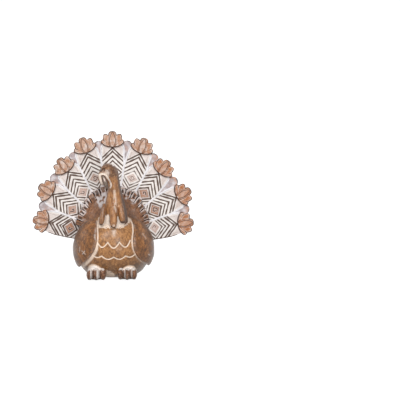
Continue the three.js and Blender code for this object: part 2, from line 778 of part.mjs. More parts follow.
[-1, 1].forEach((side) => {
  const hand = side < 0 ? "left" : "right";
  const wing = wingSolid(side, 0).subtract(bodyClearance).subtract(fanRoom).subtract(wingLines(side));
  addPiece(bodyGroup, `wing_${hand}`, wing, woodTone);
  const foot = footSolid(side).subtract(bodyClearance).subtract(wingClearance);
  addPiece(bodyGroup, `foot_${hand}`, foot, woodTone);
});

const ruffNeighbours = unite([bodyClearance, wingClearance, neckClearance]);
addPiece(fanGroup, "shoulder_ruff", ruffSolid().subtract(moved(ruffNeighbours, bodyGroup, fanGroup)), woodTone);
addPiece(fanGroup, "tail_board", boardSolid(boardInset, 0, -boardThickness, 0), washTone);
featherAngles.forEach((_, n) => {
  addPiece(fanGroup, `tail_feather_${n + 1}`, featherSolid(n), washTone);
  addPiece(fanGroup, `feather_tip_${n + 1}`, tipSolid(n), tipTone);
});

const padSpots = [
  ["front_left", -1, -1],
  ["front_right", 1, -1],
  ["back_left", -1, 1],
  ["back_right", 1, 1],
];
padSpots.forEach(([spot, x, y]) => {
  const pad = new THREE.CylinderGeometry(padRadius, padRadius, padThickness, padSides);
  pad.rotateX(Math.PI / 2);
  const spreadY = y * padSpreadShare * (chestDepth + rumpDepth);
  pad.translate(x * padSpreadShare * bodyWidth, spreadY, -seatGap - padThickness / 2);
  addPiece(bodyGroup, `felt_pad_${spot}`, solid(pad), feltTone);
});

// The origin is brought under the middle of the figure.
const extent = new THREE.Box3().setFromObject(figure);
const middle = extent.getCenter(new THREE.Vector3());
figure.position.set(-middle.x, -middle.y, -extent.min.z);

export default figure;
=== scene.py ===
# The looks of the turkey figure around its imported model: antiqued, whitewashed carving that stands for the
# plain solids, a pale floor, soft lamps and the photograph's camera. Lengths are millimetres unless a name
# ends in _M, and angles are degrees. Places on the neck, wings and feathers are shares of their own sizes.
import functools
import math

import bpy
import numpy as np
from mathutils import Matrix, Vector


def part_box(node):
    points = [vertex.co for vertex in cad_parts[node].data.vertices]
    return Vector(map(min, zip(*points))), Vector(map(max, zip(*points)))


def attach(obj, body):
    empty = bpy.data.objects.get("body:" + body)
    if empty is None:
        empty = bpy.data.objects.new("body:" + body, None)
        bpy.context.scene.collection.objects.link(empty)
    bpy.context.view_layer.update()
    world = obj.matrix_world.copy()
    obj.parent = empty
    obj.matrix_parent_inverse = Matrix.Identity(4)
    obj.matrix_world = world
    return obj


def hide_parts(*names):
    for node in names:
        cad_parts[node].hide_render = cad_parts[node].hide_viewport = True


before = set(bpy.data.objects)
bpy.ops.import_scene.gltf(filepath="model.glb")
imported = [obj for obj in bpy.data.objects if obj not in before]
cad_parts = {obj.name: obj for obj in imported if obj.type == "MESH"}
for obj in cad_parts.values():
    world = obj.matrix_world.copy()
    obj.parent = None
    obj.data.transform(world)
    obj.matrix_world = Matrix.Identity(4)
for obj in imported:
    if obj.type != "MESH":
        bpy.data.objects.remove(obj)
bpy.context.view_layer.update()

MM = 0.001
SIDES = {-1: "left", 1: "right"}

# Places taken from the frame
PADS = [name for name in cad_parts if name.startswith("felt_pad")]
pad_boxes = [np.array(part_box(name)) / MM for name in PADS]
AXIS_X = float(np.mean([box[:, 0].mean() for box in pad_boxes]))  # the body's upright axis
AXIS_Y = float(np.mean([box[:, 1].mean() for box in pad_boxes]))
SOLE = float((np.array(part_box("body")) / MM)[0, 2])  # the height of the body's sole

# Body
BODY_WIDTH = 85
BODY_HEIGHT = 70
CHEST_DEPTH = 37
RUMP_DEPTH = 39
BODY_LEAN = 5
BODY_PROFILE = [
    (0.64, 0), (0.8, 0.07), (0.95, 0.22), (1, 0.42), (0.93, 0.64), (0.72, 0.83), (0.42, 0.95), (0.16, 0.995),
]
SCALLOP_ROWS = [
    {"count": 3, "cusp": 0.565, "sag": 0.058, "half_angle": 28, "bow": 0.012},
    {"count": 4, "cusp": 0.43, "sag": 0.028, "half_angle": 37, "bow": 0.033},
]
SCALLOP_TURN = 0.5
BODY_FRONT_ANGLE = 52  # on each side of the breast, where the mesh is finer
# White on the body, and a painted highlight on the chest, at heights and places of the figure
BIB_LOW = 59.4
BIB_SIDES = (-18.5, 22)
SEAM_FADES = {-1: (46, 34), 1: (42, 30)}
CHEST_HIGHLIGHT = (0.5, 54.5, 2.5)  # place across and up, and half length
TRAIL = (-4, 9.5, 0.55)  # the paint between the feet: place across, height and slope

# Wings
WING_THICKNESS = {-1: 3.6, 1: 4.4}  # by side, -1 on the left
WING_RIM = 1.6
WING_TIP_FLARE = 0.8
WING_SINK = 0.9  # how far the wing goes under the skin
WING_HALF = 20
WING_GRID = (120, 72)
# From shoulder to tip: share of the body's outline, the left and right wing's front edge, the back edge
WING_ROWS = [
    (0.8, 0.3, 0.35, 0.42),
    (0.76, 0.24, 0.3, 0.5),
    (0.67, 0.178, 0.235, 0.62),
    (0.57, 0.15, 0.184, 0.7),
    (0.47, 0.165, 0.182, 0.74),
    (0.38, 0.215, 0.222, 0.73),
    (0.31, 0.285, 0.3, 0.66),
    (0.256, 0.36, 0.41, 0.56),
    (0.232, 0.41, 0.452, 0.485),
]
# Cuts between the wing's feathers: start and end along the wing, then start and end across it from -1 to 1
WING_CUTS = [
    (0.62, 0.93, 0.66, 0.4), (0.57, 0.95, 0.3, 0.12), (0.6, 0.95, -0.06, -0.14), (0.66, 0.93, -0.42, -0.4),
]
# The walls at the wing's edges: shares of its rise down the back, and masks down the back and up the front,
# with painted shade on both walls
WING_WALL_SHARES = (0.62, 0.38, 0.14)
WING_WALL_MASKS = {
    "white": ((0.1, 0.2, 0.3), (0.95, 0.75, 0.35)),
    "dark": ((0.3, 0.4, 0.6), (0, 0, 0.3)),
    "warm": ((0.6, 0.7, 0.8), (0, 0.1, 0.5)),
    "shade": ((0.6, 0.7, 0.8), (0.5, 0.5, 0.5)),
}
# Scratches in the wings, and on the left wing a painted highlight at its front rim: [points across and up,
# half width, amount], by side
WING_SCRATCHES_AND_HIGHLIGHT = {
    -1: [
        ([(-36.4, 33.4), (-32.0, 29.4)], 0.5, 0.7),
        ([(-32.6, 33.6), (-35.6, 29.4)], 0.5, 0.7),
        ([(-38.4, 38.0), (-38.8, 31.0)], 0.5, 0.6),
        # a painted highlight on the left wing's front rim
        ([(-21.4, 52.0), (-20.8, 47.6)], 1.0, 0.45),
    ],
    1: [([(39.6, 27.6), (41.4, 26.0)], 0.7, 0.6), ([(33.0, 52.0), (37.0, 46.0)], 0.8, 0.4)],
}

# Feet
TOE_PITCH = 7
TOE_SIZE = (7.6, 22, 14)
TOE_SINK = 0.08
TOE_SETBACK = 1.4
TOE_LEAD = 7.5
TOE_FAN = 9
ANKLE_SIZE = (20, 24, 35)
ANKLE_SET = 0.94
FOOT_SPREAD = 0.206
FOOT_SHIFT = -0.024
FOOT_BOX = ((-13, -1, -0.5), (13, 33, 19))  # low and high corner, from the middle toe's end
FOOT_TIP = AXIS_Y - CHEST_DEPTH - TOE_LEAD
# Pale strips on the toes: [place beside the foot's middle, half width], by side
TOE_STRIPS = {-1: [(2.1, 1.4), (-5.6, 0.95)], 1: [(-2.8, 0.6), (4.9, 0.65)]}

# Neck and head, in shares of their sway, forward reach and height
NECK_SWAY = 5
NECK_FORWARD = 19
NECK_TOP = 127
NECK_WIDTH = 27
NECK_BOX = ((-17, -41, 54), (19, -3, 134))
NECK_ROWS = [
    ((0.4, 0.84, 0.433), (0.53, 0.42)),
    ((0.45, 0.92, 0.524), (0.535, 0.42)),
    ((0.5, 0.98, 0.62), (0.465, 0.39)),
    ((0.44, 1.04, 0.717), (0.37, 0.35)),
    ((0.35, 1.07, 0.803), (0.283, 0.31)),
    ((0.1, 1.09, 0.882), (0.27, 0.31)),
    ((-0.4, 1.12, 0.953), (0.29, 0.33)),
    ((-0.92, 1.12, 1), (0.2, 0.24)),
]
LOBES = [
    ((-1.95, 1.28, 0.68), (-2.75, 1.58, 0.502), 0.8),
    ((0.1, 1.45, 0.7), (0.05, 1.74, 0.488), 1.14),
    ((1.7, 1.32, 0.68), (2.24, 1.66, 0.526), 1.06),
]
LOBE_WIDTH = 7.6
LOBE_SWELL = 2
LOBE_TAPER = [(0, 0.3), (0.2, 0.85), (0.55, 0.95), (0.8, 1), (0.93, 0.8), (1, 0.35)]
LOBE_APEX = 73.5  # where the white between the lobes ends in points
LOBE_HIGHLIGHT = (0.3, -3, 1.6)  # the painted highlight's place from the middle lobe's tip
CROWN = ((-0.9, 1.16, 0.961), (20.6, 22, 21))
FACE = ((-2.2, 1.5, 0.926), (11.2, 13, 18))
EYES = [(-2.0, 1.55, 0.996), (-2.66, 1.22, 0.99)]
EYE_RADIUS = 1.3
CROWN_FROM = (115, 121)  # the heights between which the crown's tones fade in
BEAK_WIDTH = 5.4
BEAK_SWELL = 0.1
BEAK_ROOM = 4
BEAK = [(-2.28, 1.72, 0.95), (-1.55, 1.94, 0.887), (-1.18, 1.66, 0.814)]
BEAK_TAPER = [(0, 0.35), (0.12, 0.8), (0.35, 1), (0.65, 0.86), (0.88, 0.5), (1, 0.18)]
# White rubbed into the front of the head: [points across and up, half width, amount]
WASHED = [
    ([(-14.2, 121.4), (-12.2, 122.0), (-9.6, 121.0)], 1.2, 0.85),
    ([(-15.2, 120.4), (-14.6, 116.6), (-13.3, 112.4), (-11.8, 108.8)], 1.5, 0.85),
    ([(-7.6, 120.2), (-5.4, 116.4), (-2.9, 111.2), (-2.2, 108.4)], 1.05, 0.88),
    ([(-2.9, 110.0), (-2.3, 107.4), (-3.4, 105.4)], 0.95, 0.8),
    ([(-7.2, 124.8), (-5.9, 122.6), (-6.0, 119.6)], 1.9, 0.44),
    ([(-10.4, 122.2), (-8.0, 121.8)], 1.3, 0.55),
]
# A painted highlight down the front of the neck: points across and up
NECK_HIGHLIGHT = np.array([(1.4, 102.0), (1.9, 90.0), (2.6, 79.0)])

# Fan tail, in its own plane
HUB_HEIGHT = 0.615 * BODY_HEIGHT
HUB_BACK = RUMP_DEPTH - 12
FAN_LEAN = 8
FAN_REACH = 100.3
FEATHER_ANGLES = [-79.3, -56.4, -35.5, -17.7, 0, 19, 37.9, 60.8, 82.2]
FEATHER_REACH = [0.754, 0.835, 0.887, 0.982, 1, 0.98, 0.875, 0.845, 0.754]
FEATHER_ROOT = 15
FEATHER_BAND = 2.1
FEATHER_HALF_WIDTH = 0.122 * FAN_REACH
CARVING_START = 38  # distance from the hub
OUTER_HALF_WIDTH = 0.139 * FAN_REACH
FREE_EDGE = [(0.2, 0.62), (0.36, 0.88), (0.52, 0.98), (0.7, 1), (0.88, 0.96), (1, 0.84)]
SEAT_GAP = 0.3
BOARD_THICKNESS = 5
FEATHER_TOP = 2.3
TIP_TOP = 5.6
TIP_WIDTH = 0.268 * FAN_REACH
TIP_LENGTH = 0.194 * FAN_REACH
TIP_EDGES = [
    ((0.36, 0.01), (0.51, 0.29)),
    ((0.515, 0.47), (0.42, 0.5)),
    ((0.45, 0.97), (0.182, 0.77)),
    ((0.185, 1), (0, 1)),
]
TIP_ROUNDING = 1.3
TIP_NOTCH = np.array(TIP_EDGES[1][1]) * (TIP_WIDTH, TIP_LENGTH) * 0.97
TIP_PARTING = ((1.6, 1.2), (6.2, 4.0))  # the start and bend of the line that runs out to the notch
TIP_WALL_LEVELS = (1.4, SEAT_GAP)
TIP_WALL_MASKS = {"white": 0.1, "dark": 0.4, "warm": 0.5}
FEATHER_END = (0.36 * TIP_WIDTH, 0.3 * TIP_LENGTH)  # half width and place of a feather's end under its tip
# The veins of a tip's right side: start, bend and end, across and up from its foot
TIP_VEINS = [
    ((3.2, 1.4), (7, 2.6), (11, 4.6)),
    ((3.6, 4.4), (6, 7.4), (8.6, 12)),
    ((3.8, 7), (5, 9.6), (6.3, 13)),
]
PETAL_HALF = 4.7
PETAL_RISE = 1.1
PETAL_LINE = 1.25
LEAF_ANGLES = [(a + b) / 2 for a, b in zip(FEATHER_ANGLES[:-1], FEATHER_ANGLES[1:])]
LEAF_REACH = [0.925, 0.99, 1.06, 1.092, 1.096, 1.052, 0.98, 0.935]
LEAF_WIDTH = 0.14 * FAN_REACH
LEAF_TOP = 0.13 * FAN_REACH
LEAF_BULGE = 1.08
LEAF_BLUNT = 0.56
LEAF_SPAN = 12  # degrees from a leaf's middle that its veins and the back's cuts reach
BACKING_INSET = 0.8
ROOT_WIDTH = 34
ROOT_DEPTH = 24
BOARD_FRONT_ANGLE = 99
BOARD_ROUNDING = 1.2
BARB_PITCH = 5.2
# Each feather's pattern: the diamond's middle and the turn of the pattern, the diamond and the chevrons in
# shares of the fan's reach and of the way to the diamond
DIAMOND_PLACES = [0.25, 0.288, 0.288, 0.304, 0.288, 0.3, 0.288, 0.288, 0.268]
DIAMOND_HALF = (0.1 * FAN_REACH, 0.086 * FAN_REACH)
DIAMOND_FACING = math.prod(DIAMOND_HALF) / math.hypot(*DIAMOND_HALF)
DIAMOND_RINGS = [(1.45, 0.4), (1.95, 0.3)]  # below the diamond: size beside it, half width
PATTERN_TURNS = [5, 5, 0, 0, 0, 0, 0, 0, 0]
CHEVRONS = [0.014, 0.15, 0.354, 0.524]
CHEVRON_HALVES = (0.7, 0.74, 0.62, 0.5)
CHEVRON_SLOPE = 0.96
# The white of the bands from the tip down: between the chevrons, and outside the rings
BAND_WHITES = [0.5, 0.95, 0.62, 0.95, 0.6, 0.7]
# The hooked stroke in a diamond, in shares of it along its two pairs of sides
HOOK = [(-0.02, 0.06), (0.26, 0.06), (0.26, -0.3), (-0.34, -0.3), (-0.34, 0.38), (0.1, 0.38)]
HOOK_HALF = 0.36
# How brown each tip is, paler on the upper left and top as a painted sheen of the light, and how brown each
# diamond is, from pale and pinkish to brown
TIP_WARMTH_AND_SHEEN = [0.6, 0.3, 0.08, 0.1, 0.15, 0.4, 0.75, 0.95, 1.0]
DIAMOND_WARMTH = [0.9, 0.55, 0.4, 0.35, 0.4, 0.15, 0.8, 0.9, 0.3]

# Ruff
RUFF_REACH = 46
RUFF_CROWN = 0.26 * RUFF_REACH
RUFF_RISE = 31
RUFF_HALF_ANGLE = 76
RUFF_FINGERS = 18
RUFF_STEPS = 30  # of the mesh, to each finger
RUFF_ROWS = [(0.3, 1), (0.45, 0.86), (0.6, 0.7), (0.76, 0.42), (0.88, 0.24), (0.97, 0.17), (1, 0.1)]
RUFF_PALE_TURNS = (-15, 14)  # the middles of the pale patches beside the neck

# Felt pads: [share of the radius, share of the height]
PAD_ROWS = [(0.5, 0), (0.9, 0), (0.975, 0.08), (1, 0.3), (1, 0.7), (0.975, 0.92), (0.9, 1), (0.5, 1)]

# Stage and camera
CAMERA_LIFT = 9
CAMERA_TURN = -3
CAMERA_DISTANCE_M = 1.917
CAMERA_TARGET_M = Vector((0.1 + AXIS_X * MM, 0, 0.086))
CAMERA_LENS = 150
CAMERA_SENSOR = 36
FLOOR_HALF_M = 30.0
LAMP_TARGET_M = Vector((0, 0, 0.08))
# Lamps: name, place and size in metres, power in watts
LAMPS = [
    ("key", (-0.5, -1.15, 0.9), (0.45, 0.5), 7.5),
    ("front", (0.34, -1.35, 0.3), (0.12, 0.8), 7),
    ("top", (0.1, -0.9, 1.0), (0.1, 0.34), 3.5),
    ("back", (0.5, 1.5, 0.9), (0.9, 0.7), 7.5),
    ("left side", (-1.45, 0.25, 0.6), (0.6, 0.6), 2.3),
    ("right side", (1.45, 0.25, 0.6), (0.6, 0.6), 1.7),
]


# Masks and points

def smooth(low, high, x):
    """0 below low, 1 above high and a soft step between them."""
    t = np.clip((x - low) / (high - low), 0, 1)
    return t * t * (3 - 2 * t)


def near(distance, half):
    """1 where distance is nothing, falling softly to 0 at half."""
    return smooth(0, 1, 1 - np.abs(distance) / half)


def most(*fields):
    """The greatest of several fields at each point."""
    return functools.reduce(np.maximum, fields)


def least(*fields):
    return functools.reduce(np.minimum, fields)


def dome(share):
    """The height of a unit dome at shares of its radius."""
    return np.sqrt(np.clip(1 - share**2, 0, 1))


def rolled(edge, radius):
    """How far a rounded edge falls, in shares of its radius, at distances from it."""
    return 1 - np.sqrt(1 - (1 - np.clip(edge / radius, 0, 1)) ** 2)


def joined(*parts):
    """Points from their coordinates, each an array or a number."""
    return np.stack(np.broadcast_arrays(*parts), -1)


def apart(points):
    """The coordinates of points, each an array."""
    return np.moveaxis(points, -1, 0)


def spaced(stretches, end=()):
    """Numbers in stretches of [start, stop, count] that leave out their stops, and then an end."""
    return np.concatenate([*(np.linspace(*stretch, endpoint=False) for stretch in stretches), end])


def ripple(points, wavelength, seed, waves=9):
    """A smooth uneven field of about -1 to 1 over points, with bumps about a wavelength apart."""
    draw = np.random.default_rng(seed)
    total = np.zeros(points.shape[:-1])
    for _ in range(waves):
        direction = draw.normal(size=3)
        direction *= 2 * math.pi / (wavelength * draw.uniform(0.7, 1.4) * np.linalg.norm(direction))
        total += np.sin(points @ direction + draw.uniform(0, 2 * math.pi))
    return total / math.sqrt(waves)


def tapered(taper, share):
    """The size of a taper at shares of its length."""
    return np.interp(share, *zip(*taper))


def bowed(start, bend, end, t):
    """Places at shares t along a bowed line."""
    return (1 - t) ** 2 * start + 2 * t * (1 - t) * bend + t**2 * end


def quadratic(start, bend, end, steps):
    """Points of a bowed line without its end."""
    t = np.linspace(0, 1, steps, endpoint=False)[:, None]
    return bowed(*(np.array(point) for point in (start, bend, end)), t)


def catmull(points, share):
    """Points of a uniform Catmull-Rom curve through points at shares of it from 0 to 1."""
    points = np.asarray(points, float)
    last = len(points) - 1
    place = np.clip(share, 0, 1) * last
    first = np.minimum(place.astype(int), last - 1)
    t = (place - first)[..., None]
    p0, p1 = points[np.maximum(first - 1, 0)], points[first]
    p2, p3 = points[first + 1], points[np.minimum(first + 2, last)]
    v0, v1 = (p2 - p0) / 2, (p3 - p1) / 2
    return (2 * p1 - 2 * p2 + v0 + v1) * t**3 + (3 * p2 - 3 * p1 - 2 * v0 - v1) * t**2 + v0 * t + p1


def to_curve(points, curve):
    """The distance of each point from a line of points."""
    flat = points.reshape(-1, points.shape[-1])
    best = np.full(len(flat), np.inf)
    for a, b in zip(curve[:-1], curve[1:]):
        along = np.clip((flat - a) @ (b - a) / max((b - a) @ (b - a), 1e-9), 0, 1)
        best = np.minimum(best, np.linalg.norm(flat - a - along[:, None] * (b - a), axis=1))
    return best.reshape(points.shape[:-1])


def strokes(points, marks, soft, where):
    """White of painted strokes, each [points across and up, half width, amount], seen from the front."""
    seen = points[..., [0, 2]]
    return [amount * smooth(1.25, soft, to_curve(seen, np.array(line, float)) / half) * where
            for line, half, amount in marks]


# Meshes

def make_object(name, form, material, node):
    """A piece of the figure from its points in millimetres, faces and masks, in place of a CAD node."""
    points, faces, masks = form
    mesh = bpy.data.meshes.new(name)
    mesh.from_pydata((points * MM).tolist(), [], faces)
    for key, values in masks.items():
        attribute = mesh.attributes.new(key, "FLOAT", "POINT")
        attribute.data.foreach_set("value", np.clip(values, 0, 1).astype(np.float32))
    mesh.polygons.foreach_set("use_smooth", np.ones(len(mesh.polygons), bool))
    mesh.set_sharp_from_angle(angle=math.radians(50))
    mesh.materials.append(MATERIALS[material])
    mesh.update()
    piece = bpy.data.objects.new(name, mesh)
    bpy.context.scene.collection.objects.link(piece)
    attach(piece, "root")
    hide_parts(node)


def skin(rings, **masks):
    """Points, faces and masks of a closed skin through closed rings of points, with its faces outwards."""
    rings = np.asarray(rings, float)
    rows, count = rings.shape[:2]
    points = np.concatenate([rings.reshape(-1, 3), [rings[0].mean(0)], [rings[-1].mean(0)]])
    row, k = np.meshgrid(np.arange(rows - 1) * count, np.arange(count), indexing="ij")
    step = (k + 1) % count
    quads = joined(row + k, row + step, row + count + step, row + count + k).reshape(-1, 4)
    around = np.arange(count)
    following = (around + 1) % count
    last = (rows - 1) * count
    start = joined(rows * count, following, around)
    end = joined(rows * count + 1, last + around, last + following)
    a, b, c, d = (points[quads[:, i]] for i in range(4))
    volume = np.sum(np.cross(b - a, c - a) * a) + np.sum(np.cross(c - a, d - a) * a)
    faces = quads.tolist() + start.tolist() + end.tolist()
    if volume < 0:
        faces = [face[::-1] for face in faces]
    for key, values in masks.items():
        values = np.broadcast_to(values, (rows, count))
        masks[key] = np.concatenate([values.ravel(), [values[0].mean()], [values[-1].mean()]])
    return points, faces, masks


def blend(a, b, width):
    """The union of two distance fields, with a fillet of about a width."""
    h = np.clip(0.5 + (b - a) / (2 * width), 0, 1)
    return b + (a - b) * h - width * h * (1 - h)


def ball(p, centre, size, turn=0):
    """About the distance from an ellipsoid."""
    q = p - np.asarray(centre, float)
    if turn:
        c, s = math.cos(turn), math.sin(turn)
        q = joined(q[..., 0] * c + q[..., 1] * s, -q[..., 0] * s + q[..., 1] * c, q[..., 2])
    half = np.asarray(size, float) / 2
    k0 = np.linalg.norm(q / half, axis=-1)
    k1 = np.linalg.norm(q / half**2, axis=-1)
    return k0 * (k0 - 1) / np.maximum(k1, 1e-9)


def limb(p, root, bend, tip, radius, taper, steps=14):
    """About the distance from a bowed limb whose radius follows a taper."""
    t = np.linspace(0, 1, steps + 1)[:, None]
    line = bowed(root, bend, tip, t)
    sizes = radius * tapered(taper, t[:, 0])
    best = np.full(p.shape[:-1], np.inf)
    for i in range(steps):
        step = line[i + 1] - line[i]
        along = np.clip((p - line[i]) @ step / (step @ step), 0, 1)
        gap = np.linalg.norm(p - line[i] - along[..., None] * step, axis=-1)
        best = np.minimum(best, gap - sizes[i] - along * (sizes[i + 1] - sizes[i]))
    return best


def gradient(field, points, step):
    """The slope of a field at points."""
    shifts = np.eye(3) * step
    return np.stack([(field(points + shift) - field(points - shift)) / (2 * step) for shift in shifts], -1)


def cell_points(value, inside):
    """The middle of the crossings in each cell that the skin passes through, and the numbers of the cells."""
    shape = np.array(inside.shape) - 1
    corners = [(i, j, k) for i in (0, 1) for j in (0, 1) for k in (0, 1)]

    def corner(array, i, j, k):
        return array[i : i + shape[0], j : j + shape[1], k : k + shape[2]]

    count = sum(corner(inside, *c).astype(int) for c in corners)
    active = (count > 0) & (count < 8)
    total = np.zeros((*shape, 3))
    hits = np.zeros(shape)
    for a in corners:
        for axis in range(3):
            if a[axis]:
                continue
            b = tuple(1 if i == axis else a[i] for i in range(3))
            va, vb = corner(value, *a), corner(value, *b)
            cross = (va < 0) != (vb < 0)
            place = np.broadcast_to(np.array(a, float), (*shape, 3)).copy()
            place[..., axis] = np.where(cross, va / np.where(cross, va - vb, 1), 0)
            total += place * cross[..., None]
            hits += cross
    index = np.full(shape, -1)
    index[active] = np.arange(active.sum())
    return np.argwhere(active) + total[active] / hits[active][:, None], index


def net(field, low, high, step):
    """Points and faces of the skin where a field crosses nothing, a point for each cell that it passes."""
    low, high = np.asarray(low, float), np.asarray(high, float)
    axes = [np.arange(low[i] - step, high[i] + 2 * step, step) for i in range(3)]
    value = field(np.stack(np.meshgrid(*axes, indexing="ij"), -1))
    inside = value < 0
    cells, index = cell_points(value, inside)
    points = low - step + cells * step
    faces = []
    for axis in range(3):
        u, v = (axis + 1) % 3, (axis + 2) % 3
        first = np.moveaxis(inside, [axis, u, v], [0, 1, 2])
        ids = np.moveaxis(index, [axis, u, v], [0, 1, 2])
        i, j, k = np.nonzero(first[:-1, 1:-1, 1:-1] != first[1:, 1:-1, 1:-1])
        quad = joined(ids[i, j, k], ids[i, j + 1, k], ids[i, j + 1, k + 1], ids[i, j, k + 1])
        leaving = first[:-1, 1:-1, 1:-1][i, j, k]
        faces += np.where(leaving[:, None], quad, quad[:, ::-1]).tolist()
    for _ in range(4):
        slope = gradient(field, points, step * 0.25)
        move = -field(points) / np.maximum((slope**2).sum(-1), 0.05)
        points += np.clip(move, -step, step)[:, None] * slope
    return points, faces


# Materials

class Graph:
    """A short way to write the nodes of a material or a world."""

    def __init__(self, owner):
        owner.use_nodes = True
        self.owner = owner
        self.tree = owner.node_tree
        self.shader = self.tree.nodes.get("Principled BSDF")

    def link(self, source, target):
        """Links a socket, or sets a number or a colour on the target itself."""
        if isinstance(source, (int, float, tuple)):
            target.default_value = source
        else:
            self.tree.links.new(source, target)

    def fill(self, node, sockets):
        for key, source in sockets.items():
            self.link(source, node.inputs[key])

    def add(self, kind, sockets=None, output=0, **settings):
        """A new node's output, after its settings and sockets are filled."""
        node = self.tree.nodes.new(kind)
        for key, value in settings.items():
            setattr(node, key, value)
        self.fill(node, sockets or {})
        return node.outputs[output]

    def noise(self, scale, detail=3.0, rough=0.55, warp=0.0):
        place = self.add("ShaderNodeTexCoord", output="Object")
        place = self.add("ShaderNodeMapping", {"Vector": place, "Scale": scale})
        sockets = {"Vector": place, "Scale": 1, "Detail": detail, "Roughness": rough, "Distortion": warp}
        return self.add("ShaderNodeTexNoise", sockets, "Fac")

    def attribute(self, name):
        return self.add("ShaderNodeAttribute", output="Fac", attribute_name=name)

    def range(self, value, low, high, to_low=0.0, to_high=1.0, kind="SMOOTHSTEP"):
        sockets = {"Value": value, "From Min": low, "From Max": high, "To Min": to_low, "To Max": to_high}
        return self.add("ShaderNodeMapRange", sockets, interpolation_type=kind)

    def math(self, operation, a, b=0.0):
        return self.add("ShaderNodeMath", {0: a, 1: b}, operation=operation)

    def mix_number(self, share, a, b):
        return self.add("ShaderNodeMix", {"Factor": share, 2: a, 3: b}, data_type="FLOAT")

    def mix(self, share, a, b):
        return self.add("ShaderNodeMix", {"Factor": share, 6: a, 7: b}, 2, data_type="RGBA")

    def seen(self):
        """1 for rays of the camera and for what they meet by gloss or through glass."""
        rays = self.tree.nodes.new("ShaderNodeLightPath").outputs
        seen = self.math("MAXIMUM", rays["Is Camera Ray"], rays["Is Glossy Ray"])
        return self.math("MAXIMUM", seen, rays["Is Transmission Ray"])

    def bump(self, height, strength, distance):
        sockets = {"Strength": strength, "Distance": distance * MM, "Height": height}
        self.link(self.add("ShaderNodeBump", sockets, "Normal"), self.shader.inputs["Normal"])


def srgb(red, green, blue):
    """A colour of 0 to 255 as the linear colour that a node takes."""
    return tuple(((v / 255 + 0.055) / 1.055) ** 2.4 for v in (red, green, blue)) + (1.0,)


def tinted(colour, factor=1, offset=0):
    """A colour made lighter or darker."""
    return srgb(*[min(255, v * factor + offset) for v in colour])


# Noise scales of the paint, in waves to the metre
CLOUD_SCALE = (130, 130, 130)
SPECK_SCALE = (1100, 1100, 1100)
MOTTLE_SCALE = (430, 430, 340)
WEAR_SCALE = (620, 620, 620)


def carved(name, light, mid, deep, grain, white=(244, 240, 237), line=(72, 46, 30), broken=0.5, fleck=0.6,
           coat=0.0, shade_colour=(92, 74, 62)):
    """Antiqued carving. Masks: dark is the nearness of a cut line and painted shade in places, white the
    whitewash and painted highlights in places, warm a browner place and painted shade in places, shade a
    painted grey-brown shade on sides and edges turned from the light."""
    g = Graph(bpy.data.materials.new(name))
    streak = g.noise(grain, detail=4, rough=0.65, warp=0.4)
    cloud = g.noise(CLOUD_SCALE)
    speck = g.noise(SPECK_SCALE, detail=2)
    mottle = g.noise(MOTTLE_SCALE, detail=4, rough=0.7, warp=0.5)
    deep = srgb(*deep)
    colour = g.mix(g.range(streak, 0.38, 0.6), srgb(*mid), srgb(*light))
    colour = g.mix(g.range(cloud, 0.48, 0.74, 0, 0.45), colour, deep)
    colour = g.mix(g.math("MULTIPLY", g.attribute("warm"), g.range(speck, 0.3, 0.6, 0.65, 1)), colour, deep)
    colour = g.mix(g.range(mottle, 0.54, 0.7, 0, 0.6 * fleck), colour, tinted(light, offset=30))
    colour = g.mix(g.range(mottle, 0.47, 0.33, 0, 0.8 * fleck), colour, deep)
    shade = g.math("MULTIPLY", g.attribute("shade"), g.range(mottle, 0.35, 0.6, 1, 0.72))
    colour = g.mix(shade, colour, srgb(*shade_colour))
    wear_and_highlight = g.math("MULTIPLY", g.math("SUBTRACT", g.noise(WEAR_SCALE, detail=5), 0.5), broken)
    wash = g.range(g.math("ADD", g.attribute("white"), wear_and_highlight), 0.08, 0.92)
    colour = g.mix(wash, colour, g.mix(g.range(cloud, 0.35, 0.7), srgb(*white), tinted(white, 0.94)))
    edge = g.math("ADD", g.attribute("dark"), g.math("MULTIPLY", g.math("SUBTRACT", speck, 0.5), 0.2))
    colour = g.mix(g.range(edge, 0.36, 0.8), colour, srgb(*line))
    g.fill(g.shader, {"Base Color": colour, "Roughness": g.mix_number(wash, 0.42, 0.62), "Coat Weight": coat,
                      "Coat Roughness": 0.27, "Specular IOR Level": 0.25})
    g.bump(g.math("ADD", streak, g.math("MULTIPLY", mottle, 0.5)), 0.25, 0.3)
    return g.owner


def felt_material():
    g = Graph(bpy.data.materials.new("dark felt"))
    fibre = g.noise((1800, 1800, 1800), detail=4, rough=0.7, warp=1.2)
    cloud = g.noise((400, 400, 400), detail=2)
    colour = g.mix(g.range(fibre, 0.3, 0.7), srgb(34, 31, 29), srgb(66, 61, 57))
    colour = g.mix(g.range(cloud, 0.45, 0.75, 0, 0.5), colour, srgb(48, 42, 38))
    g.fill(g.shader, {"Base Color": colour, "Roughness": g.range(fibre, 0.2, 0.8, 0.86, 0.98)})
    g.bump(fibre, 0.7, 0.25)
    return g.owner


